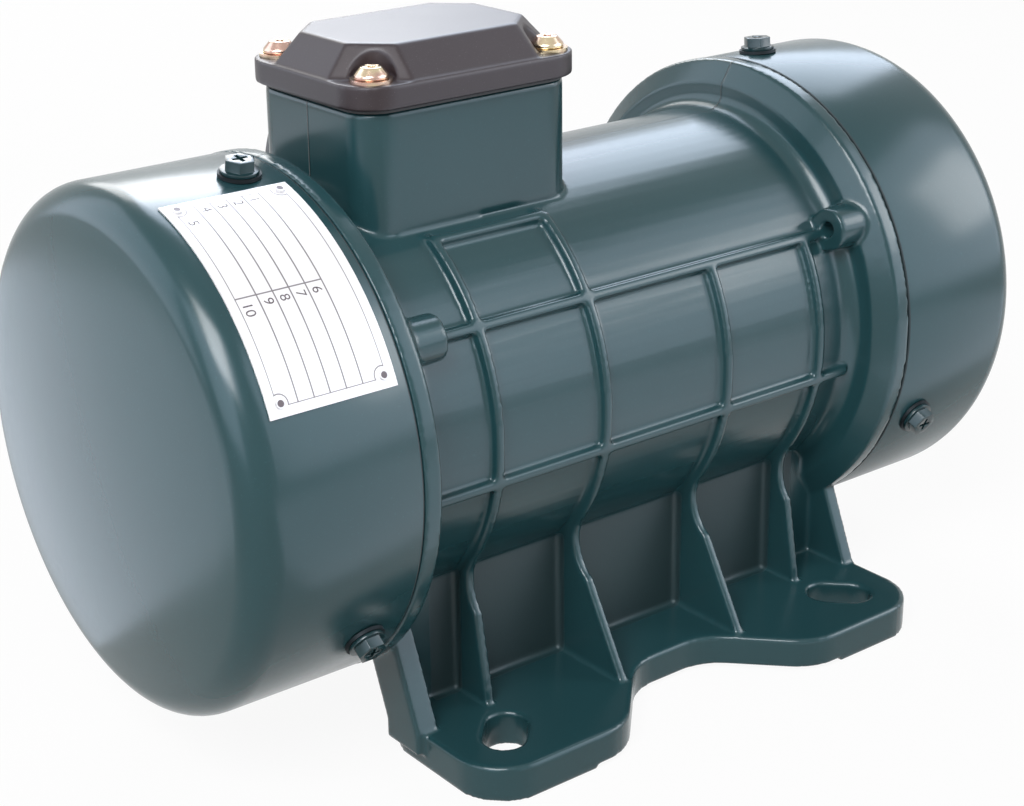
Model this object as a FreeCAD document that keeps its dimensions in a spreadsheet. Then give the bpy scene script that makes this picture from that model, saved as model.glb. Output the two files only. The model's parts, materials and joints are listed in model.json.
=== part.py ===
"""Foot-mounted vibration motor, modelled as its separate pieces in millimetres.

+X runs along the shaft, -Y is the front and +Z is up. The origin lies on the
mounting face, below the middle of the shaft. An angle round the shaft counts
from the front (-Y), and is positive upwards.
"""
import FreeCAD, Part
import math
import os
import re
import Sketcher
from FreeCAD import Placement, Rotation, Vector

SIZES = [
    # shaft line and casting
    ("axis_height", 97.6, "shaft centre above the mounting face"),
    ("barrel_radius", 63.7, "outside of the cast barrel"),
    ("bore_radius", 56, "inside of the barrel"),
    ("flange_inner", 89, "middle of the motor to a flange's inner face"),
    ("flange_thick", 4.6, "end flange thickness"),
    ("flange_radius", 79.2, "end flange outside"),
    ("collar_radius", 72, "raised ring on the flange's inner face"),
    ("collar_height", 2.2, "how far that ring stands up"),
    ("collar_fillet", 7, "hollow between barrel and flange"),
    ("flange_lean", 2.4, "how far the flange's inner face leans outwards to its rim"),
    ("boss_radius", 7, "outside of the bosses behind each flange"),
    ("boss_length", 11, "length of those bosses"),
    ("boss_circle", 69, "radius on which those bosses sit"),
    ("boss_front", 31.5, "angle of the front boss, the rear one mirrors it"),
    # foot
    ("foot_centre", 4.8, "middle of the foot along the shaft"),
    ("foot_half_length", 91.5, "half the foot along the shaft"),
    ("foot_half_width", 93.5, "half the foot across the shaft"),
    ("foot_waist", 54, "foot's half length at the middle of its hollow ends"),
    ("ear_depth", 47, "ear from its front edge to the hollow end"),
    ("notch_half", 14.5, "half the floor of the notch between two ears"),
    ("notch_mouth", 40, "half the mouth of that notch"),
    ("notch_depth", 26.3, "depth of that notch"),
    ("notch_round", 20, "round in the notch"),
    ("ear_round", 17, "round on the ears' outer corners"),
    ("end_round", 16, "round in the hollow ends"),
    ("plate_thick", 10, "foot plate"),
    ("pad_height", 1.2, "machined pads below the plate"),
    ("pad_reach", 52, "pads start this far from the foot's middle"),
    ("slot_length", 21, "mounting slot overall"),
    ("slot_width", 13, "mounting slot width"),
    ("slot_half_x", 71, "mounting slots' half pitch along the shaft"),
    ("slot_half_y", 73.5, "mounting slots' half pitch across the shaft"),
    ("pedestal_half", 44, "half the pedestal below the barrel, across the shaft"),
    ("pedestal_top", 53, "height of the pedestal's top"),
    ("web_thick", 5, "walls of the pedestal and its legs"),
    ("leg_foot", 61.3, "outer edge of a leg on the plate, across the shaft"),
    ("leg_top", 43.5, "outer edge of a leg at its top"),
    ("leg_height", 54, "height of the legs' top"),
    ("leg_width", 16, "leg across"),
    ("leg_lap", 0.5, "how far a leg laps the flange"),
    ("core_top", 29, "roof of the cored underside"),
    # ribs
    ("rib_radius", 66.5, "outside of the ribs round the barrel"),
    ("rib_thick", 3, "rib thickness"),
    ("rib_outer_pitch", 65.5, "outer two ribs from the foot's middle"),
    ("rib_inner_pitch", 24.8, "inner two ribs from the foot's middle"),
    ("rib_outer_foot", 59.5, "where an outer rib lands on the plate"),
    ("rib_inner_foot", 74.4, "where an inner rib lands on the plate"),
    ("rib_top", 31.5, "angle of the upper lengthwise rib"),
    ("rib_low", -10.2, "angle of the lower lengthwise rib"),
    ("rib_crown", 57, "angle of the lengthwise rib below the terminal box"),
    ("rib_neck", 38, "how far below level the ribs leave the barrel"),
    ("neck_round", 14, "round where the ribs turn out to the foot"),
    # terminal box
    ("box_centre", -40.4, "terminal box centre along the shaft"),
    ("box_half_x", 38.3, "terminal box half length"),
    ("box_half_y", 29.5, "terminal box half width"),
    ("box_round", 10, "terminal box upright corners"),
    ("box_wall", 3.5, "terminal box wall"),
    ("box_base", 155.5, "underside of the box where it overhangs the barrel"),
    ("box_neck", 2.5, "overhang of the box over its neck"),
    ("box_floor", 160, "floor inside the terminal box"),
    ("box_top", 190.4, "top face of the terminal box"),
    ("lid_pillar", 5.5, "pillars for the lid screws inside the box"),
    ("gasket_thick", 1.2, "lid gasket"),
    ("lid_overhang", 2.8, "lid past the box wall"),
    ("lid_round", 12.5, "upright corners of the lid's rim"),
    ("lid_rim", 7.1, "lid rim height"),
    ("lid_crown", 9.1, "raised eight-sided part above the rim"),
    ("crown_inset", 0.8, "foot of the raised part, in from the rim"),
    ("crown_slope_x", 9.2, "how far its sides lean in, lengthwise"),
    ("crown_slope_y", 10.6, "how far its sides lean in, crosswise"),
    ("crown_cut", 17.6, "its cut corners at the foot"),
    ("crown_top_cut", 10, "its cut corners at the top"),
    ("lid_skin", 3, "lid wall"),
    ("lid_pitch_x", 31.8, "lid screws' half pitch lengthwise"),
    ("lid_pitch_y", 23.8, "lid screws' half pitch crosswise"),
    ("lid_thread", 2.4, "lid screw shank radius"),
    ("lid_head", 5, "lid screw head radius"),
    ("lid_head_height", 3.4, "lid screw head height"),
    ("lid_washer", 6.2, "lid screw washer radius"),
    ("lid_washer_thick", 1, "lid screw washer thickness"),
    ("lid_screw_length", 19, "lid screw below its head"),
    # end shields and covers
    ("joint_gap", 0.05, "gap between bolted or pressed faces"),
    ("shield_thick", 3.1, "end shield rim"),
    ("shield_web", 4.8, "end shield web"),
    ("spigot_length", 5.6, "end shield's spigot in the barrel"),
    ("spigot_wall", 5, "wall of that spigot"),
    ("skirt_radius", 76.2, "ring of the end shield that the cover slips over"),
    ("skirt_wall", 2.1, "wall of that ring"),
    ("skirt_length", 20.7, "length of that ring"),
    ("hub_radius", 31.5, "bearing hub outside"),
    ("hub_lip", 3, "lip that holds the bearing"),
    ("lip_radius", 21.5, "hole in that lip"),
    ("cover_gap", 0.3, "gap between end shield and cover rim"),
    ("cover_radius", 79, "cover outside"),
    ("cover_wall", 2.4, "cover wall"),
    ("cover_length", 55, "cover from rim to corner"),
    ("cover_dome", 5, "rise of the raised end"),
    ("cover_flat", 30, "radius of the flat middle of that end"),
    ("cover_round", 12, "round between side and end"),
    ("cover_screw_x", 109.5, "cover screws along the shaft"),
    ("left_screw_top", 81.5, "angle of the left cover's top screw"),
    ("left_screw_front", -34.5, "angle of the left cover's front screw"),
    ("left_screw_rear", 203.5, "angle of the left cover's rear screw"),
    ("right_screw_top", 94.5, "angle of the right cover's top screw"),
    ("right_screw_front", -23.5, "angle of the right cover's front screw"),
    ("right_screw_rear", 215.5, "angle of the right cover's rear screw"),
    ("screw_boss", 5.5, "radius of the bosses inside the end shield's ring"),
    ("screw_boss_depth", 66, "how near the shaft those bosses reach"),
    ("cover_thread", 2.4, "cover screw shank radius"),
    ("cover_head_flats", 8, "cover screw head across flats"),
    ("cover_head_height", 4.2, "cover screw head"),
    ("cover_head_flange", 5.6, "cover screw flange radius"),
    ("cover_flange_thick", 1.1, "cover screw flange thickness"),
    ("cover_washer", 6.2, "cover washer radius"),
    ("cover_washer_thick", 1, "cover washer thickness"),
    ("shield_thread", 2.4, "end shield screw shank radius"),
    ("shield_head", 4.2, "end shield screw head radius"),
    ("shield_head_height", 4.6, "end shield screw head"),
    ("shield_screw_length", 14, "end shield screw below its head"),
    ("key_socket", 2.3, "hexagon socket radius in these screws"),
    # rating plate
    ("plate_start", 100.6, "rating plate's inner end along the shaft"),
    ("plate_width", 40, "rating plate along the shaft"),
    ("plate_low", 23.4, "angle of its lower edge"),
    ("plate_spread", 51.3, "angle that it covers"),
    ("plate_skin", 0.5, "rating plate thickness"),
    ("rivet_radius", 1.3, "rivet head radius"),
    ("rivet_height", 0.7, "rivet head height"),
    ("rivet_inset_x", 3.8, "rivets in from the ends"),
    ("rivet_inset", 2.6, "rivets in from the long edges, in degrees"),
    # electrical parts
    ("stator_half", 40, "half the stator stack"),
    ("stator_bore", 33, "stator bore radius"),
    ("winding_length", 17, "end winding past the stack"),
    ("winding_inner", 36, "end winding inside"),
    ("winding_outer", 52, "end winding outside"),
    ("air_gap", 0.4, "gap between rotor and stator"),
    ("rotor_ring", 8, "rotor's cast end ring, past the stack"),
    ("ring_relief", 3, "how far that ring stands clear of the shaft"),
    ("ring_step", 2, "step between that ring and the stack's outside"),
    ("block_half", 22, "half the terminal block, lengthwise"),
    ("block_deep", 14, "terminal block, crosswise"),
    ("block_height", 8, "terminal block"),
    ("block_front", 20, "terminal block's front face ahead of the box's middle"),
    ("barrier_thick", 1.5, "barriers between the terminals"),
    ("stud_radius", 2, "terminal stud"),
    ("stud_length", 9, "terminal stud above the block"),
    ("stud_flats", 7, "terminal nut across flats"),
    ("stud_nut", 3, "terminal nut thickness"),
    ("capacitor_half_x", 18.5, "half the capacitor, lengthwise"),
    ("capacitor_half_y", 10, "half the capacitor, crosswise"),
    ("capacitor_round", 3, "capacitor's upright corners"),
    ("capacitor_height", 24, "capacitor"),
    ("capacitor_y", 12.5, "capacitor behind the box's middle"),
    # shaft, bearings and weights
    ("shaft_radius", 12.5, "shaft in the rotor"),
    ("journal_radius", 10, "shaft in the bearings"),
    ("seat_radius", 9, "shaft in the weights"),
    ("seat_start", 103.4, "where the weights' seat starts"),
    ("shaft_half", 135, "half the shaft"),
    ("shaft_fit", 0.05, "gap of a bore on the shaft"),
    ("bearing_radius", 26, "bearing outside"),
    ("bearing_width", 15, "bearing width"),
    ("bearing_start", 88, "bearing's inner face along the shaft"),
    ("ring_wall", 4.5, "wall of each bearing ring"),
    ("shield_lap", 6.6, "bearing's dust shield, radially"),
    ("dust_shield", 1, "bearing's dust shield thickness"),
    ("weight_radius", 42, "eccentric weight radius"),
    ("weight_spread", 170, "angle that a weight covers"),
    ("weight_thick", 11, "thickness of each weight"),
    ("weight_hub", 17, "weight hub radius"),
    ("weight_start", 107.5, "inner weight's face along the shaft"),
    ("hub_start", 103.7, "inner weight's hub face along the shaft"),
    ("weight_gap", 0.3, "gap between the two weights"),
    ("key_width", 5, "key"),
    ("key_length", 9, "key length"),
    ("key_sunk", 3, "key depth in the shaft"),
    ("set_screw", 3, "weight's set screw radius"),
    ("ring_radius", 13, "retaining ring"),
    ("ring_thick", 1.5, "retaining ring thickness"),
    # cable and its entry
    ("gland_drop", 12.4, "cable entry below the terminal box's top face"),
    ("gland_thread", 9, "gland's thread radius"),
    ("gland_tail", 6, "gland's thread inside the wall"),
    ("gland_flats", 24, "gland's hexagon across flats"),
    ("gland_hex", 4.5, "gland's hexagon thickness"),
    ("nut_radius", 11.2, "gland nut radius"),
    ("nut_length", 10, "gland nut length"),
    ("nut_nose", 6.4, "gland nut's nose radius"),
    ("seal_radius", 6.8, "gland seal radius"),
    ("cord_radius", 3.5, "cable radius"),
    ("coil_x", 60, "coil centre lengthwise"),
    ("coil_y", 185, "coil centre crosswise"),
    ("coil_turn", 38, "middle radius of the coil's turns"),
    ("coil_rows", 2, "turns side by side, and as many layers"),
    ("floor_gap", 0.1, "cable above the surface"),
    ("plug_x", 108, "plug's cable end lengthwise"),
    ("plug_y", 157, "plug's middle crosswise"),
    ("plug_length", 42, "plug body length"),
    ("plug_half_width", 15, "plug body half width"),
    ("plug_half_height", 11, "plug body half height"),
    ("pin_length", 18, "plug pins"),
    ("pin_width", 6.3, "plug pin width"),
    ("pin_thick", 1.6, "plug pin thickness"),
    ("pin_spread", 7, "upper pins' half spacing"),
    ("pin_rise", 3, "upper pins above the plug's middle"),
    ("pin_drop", 6, "lower pin below the plug's middle"),
    ("pin_tilt", 30, "slant of the upper pins"),
]

# Route of the cable from the gland to the coil, then from the coil to the plug.
LEAD = [
    (-40.4, 37.5, 178), (-40.4, 57.5, 178), (-40.4, 72.7, 169.25), (-40.4, 81.5, 154),
    (-40.4, 84.8, 130.3), (-40.4, 91.7, 95), (-40.4, 97, 57.5), (-40.4, 107, 25.3),
    (-40.4, 130, 3.6), (-32, 154.5, 3.6), (-8, 165, 3.6), (18, 158.5, 3.6), (42.5, 147.4, 3.6),
]
TAIL = [(77.5, 147.4, 10.7), (93, 154.4, 11.4), (110, 157.4, 11.1)]

NAMES = {name for name, number, note in SIZES}
doc = FreeCAD.newDocument("vibration_motor")
sheet = doc.addObject("Spreadsheet::Sheet", "sizes")
for row, (name, number, note) in enumerate(SIZES, 1):
    sheet.set(f"A{row}", note)
    sheet.set(f"B{row}", str(number))
    sheet.setAlias(f"B{row}", name)
doc.recompute()

# Derived places, as formulas on the sheet's names.
FLANGE_FACE = "(flange_inner + flange_thick)"
SHIELD_FACE = f"({FLANGE_FACE} + joint_gap + shield_thick)"
COVER_START = f"({SHIELD_FACE} + cover_gap)"
COVER_CORNER = f"({COVER_START} + cover_length)"
WEB_FACE = f"({FLANGE_FACE} + joint_gap + shield_web)"
PLATE_TOP = "(pad_height + plate_thick)"
LID_BOTTOM = "(box_top + gasket_thick)"
LID_SHELF = f"({LID_BOTTOM} + lid_rim)"
SEAT_RADIUS = "(skirt_radius + joint_gap)"
GLAND_HEIGHT = "(box_top - gland_drop)"
BORE_FIT = "(bore_radius - joint_gap)"
INNER_WEIGHT_END = "(weight_start + weight_thick)"
OUTER_WEIGHT_START = f"({INNER_WEIGHT_END} + weight_gap)"
OUTER_WEIGHT_END = f"({OUTER_WEIGHT_START} + weight_thick)"
REAR_WALL = "box_half_y"

X_AXIS = Vector(1, 0, 0)
Y_AXIS = Vector(0, 1, 0)
Z_AXIS = Vector(0, 0, 1)
ALONG_X = Rotation(Y_AXIS, 90)
ALONG_Y = Rotation(X_AXIS, -90)
SIDES = (("left", -1), ("right", 1))
nodes = []


def value(formula):
    """The number that a formula on the sheet's names comes to."""
    return float(sheet.evalExpression(str(formula)))


def linked(formula):
    """The same formula, written for an object outside the sheet."""
    return re.sub(r"[a-z_]+", lambda word: "sizes." + word[0] if word[0] in NAMES else word[0], str(formula))


def bind(target, **formulas):
    """Set an object's sizes and tie them to the sheet."""
    for prop, formula in formulas.items():
        setattr(target, prop, value(formula))
        target.setExpression(prop, linked(formula))
    return target


def place(target, x=0, y=0, z=0, turn=Rotation()):
    """Put an object at a place given by formulas."""
    target.Placement = Placement(Vector(value(x), value(y), value(z)), turn)
    for axis, formula in zip("xyz", (x, y, z)):
        target.setExpression(f"Placement.Base.{axis}", linked(formula))
    return target


def node(target, label):
    """Name a finished sub-part and keep it for export."""
    target.Label = label
    nodes.append(target)
    return target


# Part primitives and booleans -------------------------------------------------

def cylinder(radius, length, x=0, y=0, z=0, turn=Rotation()):
    return place(bind(doc.addObject("Part::Cylinder", "cylinder"), Radius=radius, Height=length), x, y, z, turn)


def box(length, width, height, x=0, y=0, z=0, turn=Rotation()):
    return place(bind(doc.addObject("Part::Box", "box"), Length=length, Width=width, Height=height), x, y, z, turn)


def cone(radius, top_radius, length, x=0, y=0, z=0, turn=Rotation()):
    made = bind(doc.addObject("Part::Cone", "cone"), Radius1=radius, Radius2=top_radius, Height=length)
    return place(made, x, y, z, turn)


def prism(flats, length, x=0, y=0, z=0, turn=Rotation()):
    """A hexagon bar, from its size across flats."""
    made = doc.addObject("Part::Prism", "hexagon")
    made.Polygon = 6
    bind(made, Circumradius=f"({flats}) / sqrt(3)", Height=length)
    return place(made, x, y, z, turn)


def fuse(*pieces):
    joined = doc.addObject("Part::MultiFuse", "joined")
    joined.Shapes = list(pieces)
    joined.Refine = True
    return joined


def cut(base, *tools):
    made = doc.addObject("Part::Cut", "cut")
    made.Base = base
    made.Tool = tools[0] if len(tools) == 1 else fuse(*tools)
    made.Refine = True
    return made


def disc(radius, start, end, side=1):
    """A cylinder on the shaft line, between two places along it."""
    first = start if side > 0 else f"-({end})"
    return cylinder(radius, f"({end}) - ({start})", first, 0, "axis_height", ALONG_X)


def radial(angle):
    """Turn that points +Z away from the shaft at this angle."""
    return Rotation(X_AXIS, 90 - value(angle))


def spoke(radius, start, end, x, angle):
    """A cylinder that points away from the shaft."""
    return cylinder(radius, f"({end}) - ({start})", x, f"-({start}) * cos({angle})",
                    f"axis_height + ({start}) * sin({angle})", radial(angle))


def copies(template, label, placements):
    """One node of separate solids, each a copy of the template."""
    doc.recompute()
    solids = []
    for placement in placements:
        solid = template.Shape.copy()
        solid.Placement = placement.multiply(template.Shape.Placement)
        solids.append(solid)
    group = doc.addObject("Part::Feature", label)
    group.Shape = Part.makeCompound(solids)
    return node(group, label)


# PartDesign bodies ------------------------------------------------------------

def arc_between(start, end, radius, bulge):
    """Arc of a given radius from start to end; bulge 1 bends left, -1 bends right."""
    chord = end.sub(start)
    half = chord.Length / 2
    across = Vector(-chord.y, chord.x, 0).normalize()
    rise = math.sqrt(max(radius * radius - half * half, 0))
    middle = start.add(end).multiply(0.5).add(across * (bulge * (radius - rise)))
    return Part.Arc(start, middle, end).toShape()


def outline(body, name, plane, corners):
    """Closed sketch. A corner is (x, y), or (x, y, radius, bulge) where an arc leads to it."""
    sketch = body.newObject("Sketcher::SketchObject", name)
    support = [item for item in body.Origin.OriginFeatures if item.Role == plane + "_Plane"][0]
    sketch.AttachmentSupport = (support, "")
    sketch.MapMode = "FlatFace"
    points = [Vector(value(corner[0]), value(corner[1]), 0) for corner in corners]
    ends = []
    for index, corner in enumerate(corners):
        start, end = points[index - 1], points[index]
        if len(corner) == 2:
            sketch.addGeometry(Part.LineSegment(start, end))
            ends.append((1, 2))
            continue
        curve = arc_between(start, end, value(corner[2]), corner[3]).Edges[0].Curve
        first, last = curve.parameter(start), curve.parameter(end)
        forward = (last - first) % (2 * math.pi) < math.pi
        low, high = (first, last) if forward else (last, first)
        sketch.addGeometry(Part.ArcOfCircle(curve, low, high if high > low else high + 2 * math.pi))
        normal_up = curve.Axis.z > 0
        ends.append((1, 2) if forward == normal_up else (2, 1))
    for index, corner in enumerate(corners):
        after = (index + 1) % len(corners)
        sketch.addConstraint(Sketcher.Constraint("Coincident", index, ends[index][1], after, ends[after][0]))
        for kind, formula in (("DistanceX", corner[0]), ("DistanceY", corner[1])):
            held = sketch.addConstraint(
                Sketcher.Constraint(kind, -1, 1, index, ends[index][1], value(formula)))
            sketch.setExpression(f"Constraints[{held}]", linked(formula))
        if len(corner) > 2:
            held = sketch.addConstraint(Sketcher.Constraint("Radius", index, value(corner[2])))
            sketch.setExpression(f"Constraints[{held}]", linked(corner[2]))
    return sketch


def turned(label, corners):
    """A body turned about the shaft line from corners given as (along, radius)."""
    body = doc.addObject("PartDesign::Body", label)
    profile = outline(body, label + "_profile", "XZ", corners)
    spin = body.newObject("PartDesign::Revolution", label + "_turned")
    spin.Profile = profile
    spin.ReferenceAxis = (profile, ["H_Axis"])
    spin.Angle = 360
    return place(body, z="axis_height")


def sided(side, corners):
    """The same corners on the motor's left (-1) or right (1) end."""
    if side > 0:
        return corners
    return [(f"-({corner[0]})", corner[1]) + tuple(
        item if place_in < 1 else -item for place_in, item in enumerate(corner[2:])) for corner in corners]


def padded(label, corners, bottom, top):
    """A body raised from a plan outline between two heights."""
    body = doc.addObject("PartDesign::Body", label)
    plan = outline(body, label + "_plan", "XY", corners)
    pad = body.newObject("PartDesign::Pad", label + "_raised")
    pad.Profile = plan
    bind(pad, Length=f"({top}) - ({bottom})")
    return place(body, z=bottom)


def round_edges(body, radius, wanted):
    """Round the edges of a body that a test picks out."""
    doc.recompute()
    base = body.Tip
    names = [f"Edge{number}" for number, edge in enumerate(base.Shape.Edges, 1) if wanted(edge)]
    rounded = body.newObject("PartDesign::Fillet", body.Name + "_round")
    rounded.Base = (base, names)
    bind(rounded, Radius=radius)
    return body


def is_upright(edge):
    first, last = edge.Vertexes[0].Point, edge.Vertexes[-1].Point
    return len(edge.Vertexes) == 2 and math.hypot(first.x - last.x, first.y - last.y) < 1e-6


def stands_on(corners):
    """A test for upright edges on these plan corners."""
    spots = [(value(x), value(y)) for x, y in corners]

    def test(edge):
        foot = edge.Vertexes[0].Point
        return is_upright(edge) and min(math.hypot(foot.x - x, foot.y - y) for x, y in spots) < 0.01
    return test


def rectangle(half_x, half_y):
    return [(f"-({half_x})", f"-({half_y})"), (f"{half_x}", f"-({half_y})"),
            (f"{half_x}", f"{half_y}"), (f"-({half_x})", f"{half_y}")]


def octagon(half_x, half_y, nick):
    """A rectangle with its corners cut."""
    return [(f"-({half_x}) + {nick}", f"-({half_y})"), (f"{half_x} - {nick}", f"-({half_y})"),
            (f"{half_x}", f"-({half_y}) + {nick}"), (f"{half_x}", f"{half_y} - {nick}"),
            (f"{half_x} - {nick}", f"{half_y}"), (f"-({half_x}) + {nick}", f"{half_y}"),
            (f"-({half_x})", f"{half_y} - {nick}"), (f"-({half_x})", f"-({half_y}) + {nick}")]


def rounded_block(label, half_x, half_y, corner, bottom, top):
    return round_edges(padded(label, rectangle(half_x, half_y), bottom, top), corner, is_upright)


def over_box(body, y=0):
    """Move a body that is drawn about its own middle to the terminal box."""
    bottom = body.Placement.Base.z
    body.Placement.Base = Vector(value("box_centre"), value(y), bottom)
    body.setExpression("Placement.Base.x", linked("box_centre"))
    body.setExpression("Placement.Base.y", linked(y))
    return body


def lathe(label, corners):
    """A body turned about an upright axis from corners given as (radius, height)."""
    body = doc.addObject("PartDesign::Body", label)
    profile = outline(body, label + "_profile", "XZ", corners)
    spin = body.newObject("PartDesign::Revolution", label + "_turned")
    spin.Profile = profile
    spin.ReferenceAxis = (profile, ["V_Axis"])
    spin.Angle = 360
    return body


def bar(radius, start, end, side, circle, angle):
    """A cylinder beside the shaft line and parallel to it."""
    first = start if side > 0 else f"-({end})"
    return cylinder(radius, f"({end}) - ({start})", first, f"-({circle}) * cos({angle})",
                    f"axis_height + ({circle}) * sin({angle})", ALONG_X)


# The housing: barrel, flanges, foot, ribs and terminal box in one casting -------

EAR_START = "(foot_half_width - ear_depth)"
BOSS_ANGLES = ("boss_front", "180 - boss_front", "270")


def barrel():
    """Barrel and flanges, with the hollow and the raised ring before each flange."""
    top = "(flange_inner - collar_height)"
    run = f"({top} - collar_fillet * sin(60))"
    rise = "(barrel_radius + collar_fillet * (1 - cos(60)))"
    right = [(run, "barrel_radius"), (top, rise, "collar_fillet", -1), (top, "collar_radius"),
             ("(flange_inner + flange_lean)", "flange_radius"), (SHIELD_FACE, "flange_radius"),
             (SHIELD_FACE, SEAT_RADIUS), (FLANGE_FACE, SEAT_RADIUS), (FLANGE_FACE, "0")]
    left = [(f"-{x}", radius) for x, radius, *_ in right[::-1][:-2]]
    left += [(f"-{top}", rise), (f"-{run}", "barrel_radius", "collar_fillet", -1)]
    return turned("barrel", left + right)


def foot_plate():
    """The plate: four ears, a notch at the front and rear, and hollow ends."""
    notch = "(foot_half_width - notch_depth)"
    quarter = [("notch_half", notch), ("notch_mouth", "foot_half_width"),
               ("foot_half_length", "foot_half_width"), ("foot_half_length", EAR_START)]

    def turned_to(sx, sy):
        return [(f"{sx} * {x}", f"{sy} * {y}") for x, y in quarter]
    corners = (turned_to(-1, -1) + [("-foot_waist", "0")] + turned_to(-1, 1)[::-1]
               + turned_to(1, 1) + [("foot_waist", "0")] + turned_to(1, -1)[::-1])
    plate = padded("foot_plate", corners, "0", PLATE_TOP)
    every = [turned_to(sx, sy) for sx in (-1, 1) for sy in (-1, 1)]
    round_edges(plate, "notch_round", stands_on([spot[0] for spot in every] + [spot[1] for spot in every]))
    round_edges(plate, "ear_round", stands_on([spot[2] for spot in every]))
    round_edges(plate, "end_round", stands_on([spot[3] for spot in every]
                                              + [("foot_waist", "0"), ("-foot_waist", "0")]))
    return place(plate, "foot_centre")


def hollow_end_x(across):
    """How far from the foot's middle its hollow end lies, this far across."""
    return f"(foot_waist + (foot_half_length - foot_waist) * ({across}) / {EAR_START})"


def pedestal():
    """The block between plate and barrel, with ends that follow the plate."""
    corner = hollow_end_x("pedestal_half")
    corners = [(f"-{corner}", "-pedestal_half"), (corner, "-pedestal_half"), ("foot_waist", "0"),
               (corner, "pedestal_half"), (f"-{corner}", "pedestal_half"), ("-foot_waist", "0")]
    return place(padded("pedestal", corners, "plate_thick / 2", "pedestal_top"), "foot_centre", 0, "plate_thick / 2")


def leg(side, across):
    """A leaning wall that ties an ear to the flange, at the front (-1) or the rear (1)."""
    inner = f"(foot_half_length + {side} * foot_centre - web_thick)"
    outer = f"max({inner} + web_thick; flange_inner + leg_lap)"
    sunk = "(plate_thick / 2)"
    corners = [("leg_foot", sunk), ("leg_foot", PLATE_TOP), ("leg_top", "leg_height"),
               ("(leg_top - leg_width)", "leg_height"), ("(leg_foot - leg_width)", PLATE_TOP),
               ("(leg_foot - leg_width)", sunk)]
    body = doc.addObject("PartDesign::Body", "leg")
    pad = body.newObject("PartDesign::Pad", "leg_raised")
    pad.Profile = outline(body, "leg_side", "YZ", [(f"{across} * {y}", z) for y, z in corners])
    bind(pad, Length=f"{outer} - {inner}")
    return place(body, inner if side > 0 else f"-{outer}")


def underside_core():
    """The hollow below the barrel, open downwards."""
    half = "(pedestal_half - web_thick)"
    corner = f"({hollow_end_x(half)} - 2 * web_thick)"
    waist = "(foot_waist - 2 * web_thick)"
    corners = [(f"-{corner}", f"-{half}"), (corner, f"-{half}"), (waist, "0"),
               (corner, half), (f"-{corner}", half), (f"-{waist}", "0")]
    return place(padded("underside_core", corners, "-1", "core_top"), "foot_centre", 0, "-1")


def rib(number, pitch, foot, top):
    """A rib that hugs the barrel and turns out to the plate, front and rear."""
    leave_y = "(rib_radius * cos(rib_neck))"
    leave_z = "(axis_height - rib_radius * sin(rib_neck))"
    turn_y = f"((3 * {leave_y} + {foot}) / 4)"
    turn_z = f"({leave_z} - 1.2 * neck_round)"
    sunk = "(plate_thick / 2)"
    start_y = f"(rib_radius * cos({top}))"
    start_z = f"(axis_height + rib_radius * sin({top}))"
    corners = [(f"-{start_y}", start_z), (f"-{leave_y}", leave_z, "rib_radius", -1),
               (f"-{turn_y}", turn_z, "neck_round", 1), (f"-{foot}", PLATE_TOP), (f"-{foot}", sunk),
               (foot, sunk), (foot, PLATE_TOP), (turn_y, turn_z),
               (leave_y, leave_z, "neck_round", 1), (start_y, start_z, "rib_radius", -1)]
    body = doc.addObject("PartDesign::Body", f"rib_{number}")
    pad = body.newObject("PartDesign::Pad", f"rib_{number}_raised")
    pad.Profile = outline(body, f"rib_{number}_side", "YZ", corners)
    bind(pad, Length="rib_thick")
    return place(body, f"foot_centre + {pitch} - rib_thick / 2")


def long_rib(start, end, angle):
    """A straight rib along the barrel."""
    turn = radial(angle)
    inner = "(bore_radius + 2)"
    return box(f"({end}) - ({start})", "rib_thick", f"rib_radius - {inner}", start,
               f"-{inner} * cos({angle}) - rib_thick / 2 * sin({angle})",
               f"axis_height + {inner} * sin({angle}) - rib_thick / 2 * cos({angle})", turn)


def slot(sx, sy):
    """One mounting slot, slanting outwards over its ear."""
    angle = 45 * sx * sy
    reach = "((slot_length - slot_width) / 2)"
    centre = (f"(foot_centre + {sx} * slot_half_x)", f"({sy} * slot_half_y)")
    tools = []
    for way in (-1, 1):
        tools.append(cylinder("slot_width / 2", f"{PLATE_TOP} + 2", f"{centre[0]} + {way * sx} * {reach} * cos(45)",
                              f"{centre[1]} + {way * sy} * {reach} * sin(45)", "-1"))
    tools.append(box(f"2 * {reach}", "slot_width", f"{PLATE_TOP} + 2",
                     f"{centre[0]} - {reach} * cos({angle}) + slot_width / 2 * sin({angle})",
                     f"{centre[1]} - {reach} * sin({angle}) - slot_width / 2 * cos({angle})", "-1",
                     Rotation(Z_AXIS, angle)))
    return tools


def at_lid_screws(make):
    """Make one thing at each corner of the terminal box."""
    return [make(f"box_centre + {sx} * lid_pitch_x", f"{sy} * lid_pitch_y") for sx in (-1, 1) for sy in (-1, 1)]


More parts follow.
